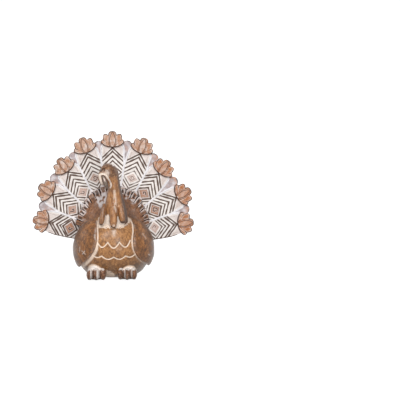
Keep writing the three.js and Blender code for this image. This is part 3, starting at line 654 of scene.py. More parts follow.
MATERIALS = {
    "body": carved("antiqued body", (184, 130, 78), (146, 98, 54), (86, 54, 30), (520, 520, 300),
                   white=(248, 226, 206), fleck=1.2, coat=0.45, shade_colour=(74, 56, 42)),
    "wing": carved("antiqued wings", (176, 116, 62), (130, 80, 40), (72, 48, 30), (480, 480, 300),
                   white=(236, 220, 208), fleck=1.2, coat=0.3, shade_colour=(70, 50, 38)),
    "neck": carved("antiqued neck", (190, 136, 86), (152, 98, 54), (80, 48, 28), (620, 620, 130),
                   white=(246, 228, 212), fleck=0.9, coat=0.6, shade_colour=(88, 54, 34)),
    "foot": carved("antiqued feet", (166, 118, 86), (124, 84, 58), (74, 46, 34), (500, 500, 260),
                   white=(246, 238, 232), line=(60, 46, 38)),
    "ruff": carved("antiqued ruff", (178, 124, 86), (138, 94, 66), (84, 58, 44), (400, 400, 200),
                   white=(240, 230, 228), line=(60, 42, 34), coat=0.2, shade_colour=(86, 66, 54)),
    "beak": carved("antiqued beak", (140, 126, 112), (112, 98, 84), (80, 62, 52), (500, 500, 160),
                   white=(240, 214, 204), line=(84, 52, 38), coat=0.3),
    "feather": carved("whitewashed feathers", (214, 194, 188), (196, 172, 164), (166, 102, 52),
                      (240, 240, 240), white=(255, 249, 244), line=(98, 78, 68), broken=0.22, fleck=0.3),
    "board": carved("whitewashed board", (188, 175, 177), (162, 149, 150), (196, 138, 100), (260, 260, 260),
                    white=(248, 245, 248), line=(106, 92, 90), broken=0.3, fleck=0.3),
    "tip": carved("antiqued tips", (206, 170, 148), (180, 142, 114), (170, 98, 38), (420, 420, 420),
                  line=(88, 58, 42), fleck=0.7, coat=0.15),
    "felt": felt_material(),
}


# Body

def on_body(share, angle):
    """Points of the body's skin at shares of its outline and angles round from the breast."""
    radius, height = apart(catmull(BODY_PROFILE, share))
    depth = np.where(np.cos(angle) > 0, CHEST_DEPTH, RUMP_DEPTH)
    return joined(
        AXIS_X + np.sin(angle) * radius * BODY_WIDTH / 2,
        AXIS_Y - np.cos(angle) * radius * depth - height**2 * BODY_LEAN,
        SOLE + height * BODY_HEIGHT)


def off_body(share, angle, distance):
    """The same points moved off the skin along its normals."""
    step = 1e-3
    along = on_body(share + step, angle) - on_body(share - step, angle)
    round_ = on_body(share, angle + step) - on_body(share, angle - step)
    normal = np.cross(round_, along)
    normal /= np.maximum(np.linalg.norm(normal, axis=-1, keepdims=True), 1e-9)
    return on_body(share, angle) + normal * np.asarray(distance)[..., None]


def scallop_curves():
    """A line along the edges of each row of scallops."""
    curves = []
    for row in SCALLOP_ROWS:
        t = np.linspace(0, 1, row["count"] * 14 + 1)
        sag = np.abs(np.sin(math.pi * t * row["count"])) * row["sag"] + row["bow"] * np.sin(math.pi * t)
        angle = np.radians(SCALLOP_TURN + (2 * t - 1) * row["half_angle"])
        curves.append(on_body(row["cusp"] - sag, angle))
    return curves


def bib_white(p, lobes):
    """The white between and under the hanging lobes, down to a ragged edge that rises to the right."""
    x, y, z = apart(p)
    left, right = BIB_SIDES
    ragged = 0.5 * ripple(p, 5, 6) + 0.6 * ripple(p, 1.9, 8)
    low_edge = BIB_LOW + ragged + 5.0 * smooth(9, 21, x)
    sides = smooth(left, left + 2.5, x) * smooth(right, right - 2.5, x)
    under = smooth(-0.4, 0.6, z - low_edge) * sides * (y < AXIS_Y)
    return np.maximum(under, 0.85 * smooth(1.5, 0.8, lobes))


def trail_white(p):
    """The paint that runs down between the feet, to a slanting edge."""
    x, _, z = apart(p)
    middle, height, slope = TRAIL
    between_feet = smooth(8, 3, np.abs(x - middle)) * smooth(SOLE + 0.6, SOLE + 1.6, z)
    return 0.62 * between_feet * smooth(2.0, -1.0, z - height + slope * (x - middle) + 0.8 * ripple(p, 3, 9))


def body_masks(flat, lines):
    x, y, z = apart(flat)
    front = y < AXIS_Y
    lobes = least(*lobe_fields(flat))
    seams = least(*[to_curve(flat, wing_edge(side)) for side in SIDES])
    feet = least(*[ankle_field(flat, side) for side in SIDES])
    left_low = smooth(*SEAM_FADES[-1], z) * (x < 0)
    right_low = smooth(*SEAM_FADES[1], z) * (x > 0)
    seam_half = 2.1 + 2.9 * left_low + 0.7 * right_low
    seam_white = (0.95 - 0.2 * left_low - 0.45 * right_low) * smooth(seam_half, 0.5 + 1.8 * left_low, seams)
    from_highlight = np.hypot(x - CHEST_HIGHLIGHT[0], np.maximum(np.abs(z - CHEST_HIGHLIGHT[1]) - CHEST_HIGHLIGHT[2], 0))
    white = most(
        0.8 * smooth(1.05, 0.45, lines),
        bib_white(flat, lobes) * smooth(AXIS_Y - 4, AXIS_Y - 12, y),
        seam_white * smooth(BODY_HEIGHT, BODY_HEIGHT - 5, z),
        0.85 * smooth(3.0, 0.6, feet),
        # A painted highlight on the chest
        0.45 * smooth(5, 0, from_highlight) * front,
        trail_white(flat) * front)
    # Painted shadow under the hanging lobes; painted shade on the sides turned from the camera, low down and
    # by the low wing seams
    under_lobes = near(lobes - 0.2, 1.1) * smooth(66, 63, z) * smooth(54, 58, z)
    turned_away = smooth(0.3, 0.5, np.abs(np.arctan2(x - AXIS_X, AXIS_Y - y)) / math.pi)
    low = smooth(26, 12, z) * (0.45 + 0.5 * smooth(5, 22, x) + 0.25 * smooth(-14, -26, x))
    shade = most(0.5 * turned_away, low, 0.45 * smooth(6, 2, seams) * smooth(34, 28, z))
    return {
        "white": white,
        "dark": 0.7 * under_lobes * front,
        "warm": 0.3 * smooth(38, 24, z) + 0.35 * smooth(0.2, 1.2, ripple(flat, 9, 7)),
        "shade": np.clip(shade + 0.12 * ripple(flat, 8, 10) * smooth(0.05, 0.3, shade), 0, 0.9),
    }


def make_body():
    front, back = BODY_FRONT_ANGLE, 360 - BODY_FRONT_ANGLE
    shares = spaced([(0, 0.3, 26), (0.3, 0.62, 92), (0.62, 1, 35)], [1])
    angles = np.radians(spaced([(-front, front, 190), (front, back, 130)]))
    share, angle = np.meshgrid(shares, angles, indexing="ij")
    flat = on_body(share, angle)
    lines = least(*[to_curve(flat, curve) for curve in scallop_curves()])
    uneven = 0.16 * ripple(flat, 17, 3) + 0.05 * ripple(flat, 6, 4)
    rings = off_body(share, angle, uneven - 0.6 * near(lines, 0.95))
    rings[0, :, 2] = SOLE
    form = skin(rings, **body_masks(flat, lines))
    make_object("carved_body_shell", form, "body", "body")


# Wings

def wing_places(side, along, across):
    """The body's share and angle under places along a wing from 0 to 1 and across it from -1 to 1."""
    outline = [(share, left if side < 0 else right, back) for share, left, right, back in WING_ROWS]
    share, front, back = apart(catmull(outline, along))
    return share, side * math.pi * (front + (back - front) * (across + 1) / 2)


def wing_edge(side):
    """The front edge of a wing on the body's skin."""
    return on_body(*wing_places(side, np.linspace(0, 1, 40), -1))


def wing_cuts(side, points):
    """The distance from the cuts between a wing's long feathers."""
    t = np.linspace(0, 1, 20)
    lines = []
    for start, end, first, last in WING_CUTS:
        place = wing_places(side, start + (end - start) * t, first + (last - first) * t)
        lines.append(off_body(*place, WING_THICKNESS[side] - 1))
    return least(*[to_curve(points, line) for line in lines])


def wing_masks(side, place, along, across, cut):
    x, y, _ = apart(place)
    rubbed = smooth(0.1, 0.9, ripple(place, 14, 21 + side))
    patches = ripple(place, 9, 5)
    inner_rim = smooth(-0.84, -0.96, across) * smooth(1, 0.86, along) * (0.5 + 0.5 * rubbed)
    # Painted shade on the wing's outer side, near its tip and shoulder and towards its front edge
    outer = smooth(0.25, 0.46, side * np.arctan2(x - AXIS_X, AXIS_Y - y) / math.pi)
    shade = most(
        0.85 * outer,
        0.75 * smooth(0.72, 1, along),
        0.6 * smooth(0.2, 0.02, along),
        0.45 * smooth(-0.5, -0.85, across))
    return {
        "white": most(
            0.5 * smooth(0.9, 0.35, cut) * smooth(-0.2, 0.6, patches),
            0.3 * smooth(0.1, 0.0, along) * rubbed,
            (0.5 if side < 0 else 0.3) * inner_rim,
            *strokes(place, WING_SCRATCHES_AND_HIGHLIGHT[side], 0.6, y < AXIS_Y)),
        "dark": most(
            0.75 * near(cut, 0.8) * smooth(0.9, 0.1, patches),
            0.5 * smooth(0.3, 1.1, ripple(place, 2.8, 23 + side)) * smooth(0.0, 0.3, along)),
        "warm": 0.1 + 0.3 * smooth(0.6, 1, along) + 0.35 * smooth(0.0, 1, ripple(place, 8, 25 + side)),
        "shade": np.clip(shade + 0.14 * ripple(place, 7, 27 + side), 0, 0.92),
    }


def make_wing(side, hand):
    along, across = (np.linspace(low, 1, count) for low, count in zip((0, -1), WING_GRID))
    along, across = np.meshgrid(along, across, indexing="ij")
    share, angle = wing_places(side, along, across)
    high = np.sqrt(np.sin(math.pi * along)).clip(0) * dome(across)
    rise = WING_RIM + (WING_THICKNESS[side] - WING_RIM) * high + WING_TIP_FLARE * along**4 + SEAT_GAP
    place = off_body(share, angle, rise)
    cut = wing_cuts(side, place)
    edge = (1 - np.abs(across)) * WING_HALF * np.sqrt(np.sin(math.pi * np.clip(along, 0.02, 0.98)))
    carving = 0.9 * rolled(edge, WING_RIM)
    height = rise - carving - 0.7 * near(cut, 1.2) + 0.18 * ripple(place, 12, 11 + side)
    surface = off_body(share, angle, height)
    inner = off_body(share, angle, -WING_SINK)

    def wall(k, parts):
        return np.stack([off_body(share[:, k], angle[:, k], rise[:, k] * part) for part in parts], axis=1)

    back, front = wall(-1, WING_WALL_SHARES), wall(0, WING_WALL_SHARES[::-1])
    rings = np.concatenate([surface, back, inner[:, ::-1], front], axis=1)
    column = np.ones((len(rings), 1))
    masks = {}
    for key, top in wing_masks(side, place, along, across, cut).items():
        down, up = WING_WALL_MASKS[key]
        masks[key] = np.concatenate([top, column * down, np.zeros_like(top), column * up], axis=1)
    make_object(f"carved_wing_{hand}", skin(rings, **masks), "wing", f"wing_{hand}")


# Feet

def foot_middle(side):
    return AXIS_X + (FOOT_SHIFT + side * FOOT_SPREAD) * BODY_WIDTH


def ankle_field(p, side):
    return ball(p, (foot_middle(side), FOOT_TIP + TOE_SIZE[1] * ANKLE_SET, SOLE), ANKLE_SIZE)


def toe_fields(p, side):
    """The distances from the three toes of a foot."""
    fields = []
    for place in (-1, 0, 1):
        beside = foot_middle(side) + place * TOE_PITCH
        forward = FOOT_TIP + TOE_SIZE[1] / 2 + abs(place) * TOE_SETBACK
        centre = (beside, forward, SOLE + TOE_SIZE[2] * (0.5 - TOE_SINK))
        fields.append(ball(p, centre, TOE_SIZE, math.radians(place * TOE_FAN)))
    return fields


def foot_field(p, side):
    left, middle, right = toe_fields(p, side)
    shape = blend(blend(blend(left, middle, 0.5), right, 0.5), ankle_field(p, side), 1.6)
    shape = shape + 0.1 + 0.12 * ripple(p, 6, 31 + side)
    return -blend(-shape, p[..., 2] - SOLE, 0.4)


def foot_masks(points, side):
    x, y, z = apart(points)
    first, second, _ = np.sort(toe_fields(points, side), axis=0)
    uneven = ripple(points, 3.4, 35 + side)
    between = smooth(3.8, 2.4, second - first) * smooth(SOLE + 0.4, SOLE + 2, z)
    seen_height = z + math.tan(math.radians(CAMERA_LIFT)) * (y - AXIS_Y + CHEST_DEPTH)
    mound = np.maximum(smooth(0.1, 1.4, first + 0.4 * uneven) * smooth(SOLE + 3, SOLE + 7, z),
                       smooth(SOLE + 10.4, SOLE + 11.8, seen_height + 0.8 * uneven))
    toes_front = smooth(FOOT_TIP + 17, FOOT_TIP + 13, y) * smooth(SOLE + 1, SOLE + 3, z)
    strips = most(*[smooth(half + 0.7, half - 0.3, np.abs(x - foot_middle(side) - middle))
                    for middle, half in TOE_STRIPS[side]])
    return {
        "white": most(
            0.15 * between,
            (0.92 - 0.2 * smooth(0.2, 1, uneven)) * mound,
            0.88 * strips * toes_front,
            0.35 * smooth(0.6, 1.3, ripple(points, 2.4, 37 + side))),
        # The dark is painted shade along the bottom of the toes and between them, with uneven mottling
        "dark": most(
            0.95 * smooth(SOLE + 2.4, SOLE + 0.5, z),
            0.62 * smooth(0.3, 1.1, ripple(points, 2.6, 33)) * (1 - strips),
            0.6 * between * (1 - strips) * smooth(SOLE + 6, SOLE + 3, z)),
        "warm": (0.35 + 0.5 * smooth(-0.4, 0.8, uneven)) * smooth(0.8, -0.2, first),
    }


def make_foot(side, hand):
    low, high = np.array(FOOT_BOX) + (foot_middle(side), FOOT_TIP, SOLE)
    points, faces = net(functools.partial(foot_field, side=side), low, high, 0.55)
    form = (points, faces, foot_masks(points, side))
    make_object(f"carved_foot_{hand}", form, "foot", f"foot_{hand}")


# Neck and head

def neck_place(shares):
    """A place from shares of the neck's sway, forward reach and height."""
    side, forward, up = shares
    return np.array([AXIS_X + side * NECK_SWAY, AXIS_Y - forward * NECK_FORWARD, up * NECK_TOP])


def lobe_line(lobe):
    """The root, bend and tip of a hanging lobe."""
    root, tip = neck_place(lobe[0]), neck_place(lobe[1])
    return root, (root + tip) / 2 - np.array([0, LOBE_SWELL, 0]), tip


def lobe_fields(p):
    """The distances from the hanging lobes."""
    return [limb(p, *lobe_line(lobe), lobe[2] * LOBE_WIDTH / 2, LOBE_TAPER) for lobe in LOBES]


def lobe_sides(p):
    """How near each point lies to a hanging lobe's left or right side, from 0 to 1."""
    x, _, z = apart(p)
    sides = []
    for lobe in LOBES:
        root, bend, tip = lobe_line(lobe)
        t = np.clip((root[2] - z) / (root[2] - tip[2]), 0, 1)
        half = lobe[2] * LOBE_WIDTH / 2 * tapered(LOBE_TAPER, t)
        side = np.abs(x - bowed(root[0], bend[0], tip[0], t)) / half
        sides.append(smooth(0.62, 0.92, side) * smooth(1.3, 1.1, side) * smooth(0.3, 0.5, t))
    return most(*sides)


def neck_rows():
    """The neck's middle, half width and half depth up its length."""
    rows = [[*neck_place(place), width * NECK_WIDTH, depth * NECK_WIDTH]
            for place, (width, depth) in NECK_ROWS]
    return catmull(rows, np.linspace(0, 1, 60))


def neck_at(z, *columns):
    """Some columns of the neck's rows at heights."""
    rows = neck_rows()
    return [np.interp(z, rows[:, 2], rows[:, i]) for i in columns]


def neck_column(p):
    x, y, z = apart(p)
    bottom, top = neck_rows()[[0, -1], 2]
    middle_x, middle_y, half_x, half_y = neck_at(z, 0, 1, 3, 4)
    q = np.hypot((x - middle_x) / half_x, (y - middle_y) / half_y)
    return most((q - 1) * np.minimum(half_x, half_y), bottom - z, z - top)


def beak_line():
    return [neck_place(place) for place in BEAK]


def beak_field(p):
    return limb(p, *beak_line(), BEAK_WIDTH / 2, BEAK_TAPER) - BEAK_SWELL


def neck_field(p):
    """The distance from neck, head, hanging lobes and eyes, with a pocket for the beak."""
    _, y, z = apart(p)
    crown = neck_place(CROWN[0])
    head = blend(ball(p, crown, CROWN[1]), ball(p, neck_place(FACE[0]), FACE[1]), 3.5)
    shape = blend(blend(neck_column(p), head, 3.0), least(*lobe_fields(p)), 1.3)
    for place in EYES:
        eye = neck_place(place)
        shape = -blend(-shape, np.linalg.norm(p - eye, axis=-1) - EYE_RADIUS * 1.35, 0.5)
        shape = blend(shape, np.linalg.norm(p - eye - (eye - crown) * -0.06, axis=-1) - EYE_RADIUS, 0.3)
    shape = np.maximum(shape, -beak_field(p))
    curls = smooth(112, 119, z) * smooth(-31, -26, y)
    return shape + 0.1 * ripple(p, 7, 41) + 0.08 * curls * ripple(p, 3.2, 42)


def head_masks(points):
    """The white and dark of neck, crown and eyes."""
    x, y, z = apart(points)
    seen = points[:, [0, 2]]
    lobes = least(*lobe_fields(points))
    facing = y < AXIS_Y - 21
    apex = LOBE_APEX + 3.6 * smooth(0, 6, x)
    need = 0.15 + 0.34 * np.maximum(z - apex + 6, 0)
    lobe_span = smooth(-15, -12.5, x) * smooth(14, 11, x)
    # A painted highlight down the front of the neck
    wear_and_highlight = smooth(2.7, 0.8, to_curve(seen, NECK_HIGHLIGHT)) * (y < AXIS_Y - 12)
    white = most(
        0.95 * smooth(need, need + 0.5, lobes) * smooth(apex + 3, apex, z) * lobe_span * facing,
        0.9 * smooth(63.5, 61.5, z) * smooth(0.1, 0.8, lobes),
        0.52 * wear_and_highlight * smooth(-1.4, 0.4, ripple(points * (1, 1, 0.3), 3, 45)),
        *strokes(points, WASHED, 0.7, facing))
    mottled = smooth(0.1, 1, ripple(points, 2.2, 43)) * smooth(-33, -28, y)
    dark = 0.48 * smooth(*CROWN_FROM, z) * mottled * (1 - smooth(0, 0.3, white))
    for place in EYES:
        eye_x, eye_y, eye_z = neck_place(place)
        off = np.linalg.norm(seen - (eye_x, eye_z), axis=1)
        dark = dark * smooth(EYE_RADIUS * 1.6, EYE_RADIUS * 3.2, off)
        dark = np.maximum(dark, smooth(EYE_RADIUS * 1.5, EYE_RADIUS * 0.8, off) * (y < eye_y + 5))
        white = np.maximum(white, 0.42 * near(off - EYE_RADIUS * 2, 0.9) * (z < eye_z + 0.6) * facing)
    return white, dark


def neck_masks(points):
    x, _, z = apart(points)
    white, dark = head_masks(points)
    tips = [neck_place(lobe[1]) for lobe in LOBES]
    # Painted shade on the lower ends of the hanging lobes, and dark lines down their sides
    hang = least(*[z - tip[2] + 40 * smooth(4, 6, np.abs(x - tip[0])) for tip in tips])
    rim = smooth(2.6, 0.8, hang) * smooth(0.5, 0.1, least(*lobe_fields(points)))
    rim = np.maximum(rim, 0.75 * lobe_sides(points))
    # A painted highlight on the middle lobe's tip
    lobe_highlight = smooth(2.4, 1.2, np.linalg.norm(points - tips[1] - LOBE_HIGHLIGHT, axis=1))
    # Painted shade down the neck's sides, most on the right: darker, browner and greyer there
    middle, half = neck_at(z, 0, 3)
    beside = (x - middle) / half
    streaks = ripple(points * (1, 1, 0.2), 4.5, 44)
    shade = np.clip(0.75 * smooth(0.5, 1.0, beside) + 0.3 * smooth(-0.7, -1.0, beside), 0, 0.9)
    return {
        "white": np.maximum(white, 0.5 * lobe_highlight),
        "dark": most(
            dark,
            0.8 * rim * (1 - lobe_highlight),
            0.85 * smooth(0.6, 0.95, beside) * smooth(124, 116, z)),
        "warm": most(
            (0.75 + 0.25 * smooth(-8, 0, x)) * smooth(*CROWN_FROM, z),
            0.3 * smooth(0, 1, streaks),
            0.85 * smooth(0.35, 0.95, beside),
            0.4 * smooth(-0.75, -1.0, beside)),
        "shade": shade * smooth(122, 112, z),
    }


def make_neck():
    points, faces = net(neck_field, *NECK_BOX, 0.62)
    form = (points, faces, neck_masks(points))
    make_object("carved_neck_and_head", form, "neck", "neck_head")


def beak_masks(points):
    x, _, z = apart(points)
    root, bend, tip = beak_line()
    ridge = bowed(root, bend, tip, np.linspace(0, 1, 30)[:, None])
    across = x - ridge[np.argmin(np.abs(ridge[:, 2] - z[:, None]), axis=1), 0]
    drop = root[2] - z
    half = 2.5 * tapered(BEAK_TAPER, drop / (root[2] - tip[2]))
    shine = smooth(1.0, 0.4, np.hypot((across - 0.1) / 0.95, (drop - 4.6) / 3.4))
    cuts = np.maximum(0.85 * smooth(0.45, 0.95, np.abs(across) / half), 0.8 * smooth(1.6, 0.4, drop))
    return {"white": 0.9 * shine, "dark": cuts * (1 - shine), "warm": 0.2 + 0.3 * smooth(6, 12, drop)}


def make_beak():
    low, high = np.min(beak_line(), axis=0) - BEAK_ROOM, np.max(beak_line(), axis=0) + BEAK_ROOM
    points, faces = net(lambda p: beak_field(p) + 0.05 * ripple(p, 4, 51), low, high, 0.38)
    make_object("carved_beak", (points, faces, beak_masks(points)), "beak", "beak")


# Feathers of the fan

def fan_to_frame(p):
    """Points of the fan's own plane, [across, out from the hub, to the front], in the frame."""
    tilt = math.radians(90 - FAN_LEAN)
    c, s = math.cos(tilt), math.sin(tilt)
    x, y, z = apart(p)
    return joined(AXIS_X + x, AXIS_Y + HUB_BACK + y * c - z * s, HUB_HEIGHT + y * s + z * c)


def turned(x, y, degrees):
    """Places in the fan's plane turned to the right."""
    c, s = math.cos(math.radians(degrees)), math.sin(math.radians(degrees))
    return x * c + y * s, -x * s + y * c


def along_feather(n, x, y, z):
    """Points beside, out along and in front of feather n, in the frame."""
    return fan_to_frame(joined(*turned(x, y, FEATHER_ANGLES[n]), z))


def feather_edge(n, side):
    """One edge of feather n from its root to under its tip: [half width, distance from the hub]."""
    reach = FEATHER_REACH[n] * FAN_REACH
    end = (FEATHER_END[0], reach + FEATHER_END[1])
    if not 0 <= n + side < len(FEATHER_ANGLES):
        return [(width * OUTER_HALF_WIDTH, out * reach) for out, width in FREE_EDGE] + [end]
    pitch = math.radians(abs(FEATHER_ANGLES[n + side] - FEATHER_ANGLES[n]) / 2)
    fork = (FEATHER_HALF_WIDTH + FEATHER_BAND / 2) / math.tan(pitch)
    root = FEATHER_ROOT * math.tan(pitch) - FEATHER_BAND / 2
    return [(root, FEATHER_ROOT), (FEATHER_HALF_WIDTH, fork), (FEATHER_HALF_WIDTH, reach), end]


def half_width(n, x, y):
    """The half width of feather n at distances y from the hub, on the side of x."""
    left, right = (np.array(feather_edge(n, side)) for side in SIDES)
    return np.where(x < 0, np.interp(y, left[:, 1], left[:, 0]), np.interp(y, right[:, 1], right[:, 0]))


def hook_line(draw):
    """A hooked stroke inside a diamond, turned another way on each feather."""
    hook = np.array(HOOK[: draw.integers(4, len(HOOK) + 1)]) * (draw.choice([-1, 1]), draw.choice([-1, 1]))
    first, second = apart(hook)
    return joined(DIAMOND_HALF[0] * (first - second) / 2, DIAMOND_HALF[1] * (first + second) / 2)


def feather_cuts(n, x, y, p, diamond, below):
    """The distance from each cut of a feather's pattern and its half width, with the hooked stroke last."""
    middle = DIAMOND_PLACES[n] * FAN_REACH
    draw = np.random.default_rng(100 + n)
    sway = 0.12 * np.sin(x * 0.9 + draw.uniform(0, 6)) + 0.1 * np.sin(y * 0.7 + draw.uniform(0, 6))
    slope = math.hypot(1, CHEVRON_SLOPE)
    cuts = [(np.abs(p - share * middle - CHEVRON_SLOPE * np.abs(x)) / slope + sway, half)
            for share, half in zip(CHEVRONS, CHEVRON_HALVES)]
    cuts.append((np.abs(diamond - 1) * DIAMOND_FACING + sway, 0.45 + 0.28 * DIAMOND_WARMTH[n]))
    cuts += [(np.abs(below - size) * DIAMOND_FACING, half) for size, half in DIAMOND_RINGS]
    return [*cuts, (to_curve(joined(x, p - middle), hook_line(draw)), HOOK_HALF)]


def feather_pattern(n, x, y, edge):
    """Depth of the cuts of a feather's pattern, and its masks."""
    x, p = turned(x, FEATHER_REACH[n] * FAN_REACH - y, PATTERN_TURNS[n])
    middle, tone = DIAMOND_PLACES[n] * FAN_REACH, DIAMOND_WARMTH[n]
    diamond = np.abs(x) / DIAMOND_HALF[0] + np.abs(p - middle) / DIAMOND_HALF[1]
    below = np.where(p > middle, diamond, 0)
    cuts = feather_cuts(n, x, y, p, diamond, below)
    from_hook = cuts[-1][0]
    signed = least(*[np.maximum(distance - half, 0.45 - edge) for distance, half in cuts])
    inside, core = smooth(1.0, 0.94, diamond), smooth(0.7, 0.6, diamond)
    chevrons = [share * middle + CHEVRON_SLOPE * np.abs(x) for share in CHEVRONS]
    bands = [p < chevron for chevron in chevrons] + [below > size for size, _ in DIAMOND_RINGS[::-1]]
    white = most(np.select(bands, BAND_WHITES, 0.72), 0.97 * smooth(1.7, 0.5, signed), smooth(1.3, 0.5, edge))
    white = white * (1 - inside) + inside * (0.8 - 0.3 * tone)
    white = white * (1 - core) + core * (0.35 - 0.3 * tone)
    white = np.maximum(white, 0.6 * core * smooth(1.3, 0.9, from_hook) * smooth(0.4, 0.8, from_hook))
    free = ((n == 0) & (x < 0)) | ((n == len(FEATHER_ANGLES) - 1) & (x > 0))
    dark = most(
        np.clip(0.74 - signed / 1.5, 0, 1),
        0.85 * free * smooth(1.5, 0.6, edge) * smooth(0, 3, p),
        (0.45 + 0.35 * tone) * near((diamond - 0.68) * DIAMOND_FACING, 0.75))
    dark = dark * (1 - 0.3 * smooth(1.12, 0.98, diamond) * smooth(0.6, 0.2, tone))
    # A short grey stroke beside each shoulder of the tip
    stroke = near(edge - 2.6, 1.1) * smooth(-1, 1.5, p) * smooth(chevrons[0] - 0.6, chevrons[0] - 2.4, p)
    warm = core * (0.15 + 0.8 * tone) + 0.2 * inside * tone
    warm = warm * (0.8 + 0.25 * np.sin(1.7 * x + n) * np.sin(1.9 * p))
    masks = {"white": white, "dark": np.maximum(dark, 0.56 * stroke), "warm": warm}
    return 0.5 * smooth(0.35, -0.35, signed), masks


def make_feather(n):
    end = FEATHER_REACH[n] * FAN_REACH + FEATHER_END[1]
    root = max(feather_edge(n, side)[0][1] for side in SIDES)
    rows = spaced([(root, CARVING_START, 9)], [*np.arange(CARVING_START, end, 0.36), end])
    y, s = np.meshgrid(rows, np.linspace(-1, 1, 72), indexing="ij")
    width = half_width(n, s, y)
    x, edge = s * width, width * (1 - np.abs(s))
    depth, masks = feather_pattern(n, x, y, edge)
    top = FEATHER_TOP - depth - 0.35 * smooth(0.5, 0, edge) + 0.07 * ripple(joined(x, y, 0), 7, 60 + n)
    surface = along_feather(n, x, y, top)
    foot = along_feather(n, x[:, [-1, 0]], y[:, [-1, 0]], SEAT_GAP)
    for key, values in masks.items():
        masks[key] = np.concatenate([values, np.full((len(rows), 2), 0.7 * (key == "white"))], axis=1)
    form = skin(np.concatenate([surface, foot], axis=1), **masks)
    make_object(f"carved_feather_{n + 1}", form, "feather", f"tail_feather_{n + 1}")


# Tips of the feathers

def tip_outline():
    """A tip's outline from its foot up its right side and down its left."""
    half, start = [], (0, 0)
    for bulge, end in TIP_EDGES:
        half.append(quadratic(start, bulge, end, 15))
        start = end
    right = np.concatenate([*half, [[0, 1]]]) * (np.array([TIP_WIDTH, TIP_LENGTH]) * 0.99)
    return np.concatenate([right, right[-2:0:-1] * (-1, 1)])


def tip_lines(x, y):
    """How far points lie inside the middle petal, and from the lines and the veins of the other petals."""
    folded = joined(np.abs(x), y)
    # The middle petal is an almond; the others part along lines that run from the foot out to the notches.
    out = np.clip(y / (0.97 * TIP_LENGTH), 0, 1)
    petal = PETAL_HALF * np.sin(math.pi * out**0.85) ** 0.6 - np.abs(x)
    lines = to_curve(folded, quadratic(*TIP_PARTING, TIP_NOTCH, 12))
    return petal, lines, least(*[to_curve(folded, quadratic(*vein, 8)) for vein in TIP_VEINS])


def tip_height(n, x, y, edge):
    petal, lines, veins = tip_lines(x, y)
    raised = smooth(-0.3, 0.3, petal)
    lobes = least(lines, edge, np.where(petal > 0, 9, -petal))
    height = TIP_TOP - 0.3 + 0.35 * (1 - np.exp(-lobes / 1.8)) - 0.1 * near(veins, 0.5) * (1 - raised)
    height = height - 0.25 * near(lines, 0.55) * (1 - raised)
    top = TIP_TOP + 0.7 * PETAL_RISE - 0.35 * near(petal - PETAL_LINE, 0.45) - 0.2 * smooth(1.3, 0, petal)
    height = height * (1 - raised) + raised * top - TIP_ROUNDING * rolled(edge, TIP_ROUNDING)
    return height + 0.06 * ripple(joined(x, y, 0), 5, 70 + n)


def tip_masks(n, x, y, edge):
    # The tip's tone carries a painted sheen: lower, so paler, on the upper left and top
    tone, place = TIP_WARMTH_AND_SHEEN[n], joined(x, y, 0)
    folded = joined(np.abs(x), y)
    petal, lines, veins = tip_lines(x, y)
    raised = smooth(-0.3, 0.3, petal)
    near_notch = smooth(4.5, 2.0, np.linalg.norm(folded - TIP_NOTCH, axis=-1))
    near_foot = smooth(6.5, 4.0, np.linalg.norm(folded, axis=-1))
    wear_and_highlight = smooth(-0.9, 0.1, ripple(place, 7, 80 + n))
    low_edge = smooth(1.7, 0.8, edge) * smooth(0.36 * TIP_LENGTH, 0.26 * TIP_LENGTH, y)
    patch = ripple(place, 6.5, 90 + n)
    from_lines = least(lines, np.abs(petal), np.maximum(edge - 0.7, 0))
    rims = smooth(0.35, 0.7, from_lines) * smooth(1.35, 0.85, from_lines)
    heart = smooth(1.6, 2.4, petal)
    return {
        "white": (0.3 - 0.26 * tone) * smooth(-0.6, 0.9, patch) + (0.25 + 0.3 * tone) * rims + 0.22 * heart,
        "dark": most(
            np.clip(0.55 + 0.45 * np.maximum(near_notch, near_foot) - lines / 1.1, 0, 1) * (1 - raised),
            np.clip(0.66 - np.abs(petal + 0.1) / 1.2, 0, 1),
            np.clip(1.25 - np.abs(petal - PETAL_LINE) / 0.62, 0, 1) * raised * smooth(0.5, 2.2, y),
            (0.3 + 0.35 * tone) * near(veins, 0.8) * (1 - raised),
            0.98 * low_edge,
            0.95 * smooth(1.5, 0.6, edge) * (0.5 + 0.5 * wear_and_highlight)),
        "warm": 0.06 + (0.1 + tone) * smooth(1.4, -0.4, patch) * (1 - 0.6 * rims) * (1 - 0.4 * heart),
    }


def make_tip(n):
    outline = tip_outline()
    centre = np.array([0, 0.42 * TIP_LENGTH])
    share = spaced([(0.03, 0.86, 19)], [0.86, 0.89, 0.92, 0.945, 0.965, 0.98, 0.99, 1.0])
    flat = centre + share[:, None, None] * (outline - centre)
    edge = to_curve(flat, np.concatenate([outline, outline[:1]]))
    x, y = apart(flat)
    out = y + FEATHER_REACH[n] * FAN_REACH
    surface = along_feather(n, x, out, tip_height(n, x, y, edge))
    walls = [along_feather(n, x[-1], out[-1], level) for level in TIP_WALL_LEVELS]
    under = along_feather(n, x[0], out[0], SEAT_GAP)
    masks = tip_masks(n, x, y, edge)
    for key, level in TIP_WALL_MASKS.items():
        masks[key] = np.concatenate([masks[key], np.full((len(walls) + 1, len(outline)), level)])
    form = skin(np.concatenate([surface, walls, [under]]), **masks)
    make_object(f"carved_tip_{n + 1}", form, "tip", f"feather_tip_{n + 1}")


# Board of the fan

def leaf_outline(reach):
    """A pale rounded leaf between two feathers, from the hub out and back."""
    half = LEAF_WIDTH / 2
    t = np.linspace(0, 1, 20)[:, None]
    p0, p1 = np.array([half, reach - LEAF_TOP]), np.array([half * LEAF_BULGE, reach - half / 2])
    p2, p3 = np.array([half * LEAF_BLUNT, reach]), np.array([0, reach])
    top = (1 - t) ** 3 * p0 + 3 * t * (1 - t) ** 2 * p1 + 3 * t**2 * (1 - t) * p2 + t**3 * p3
    return np.concatenate([[[0, 0]], top, top[-2::-1] * (-1, 1)])


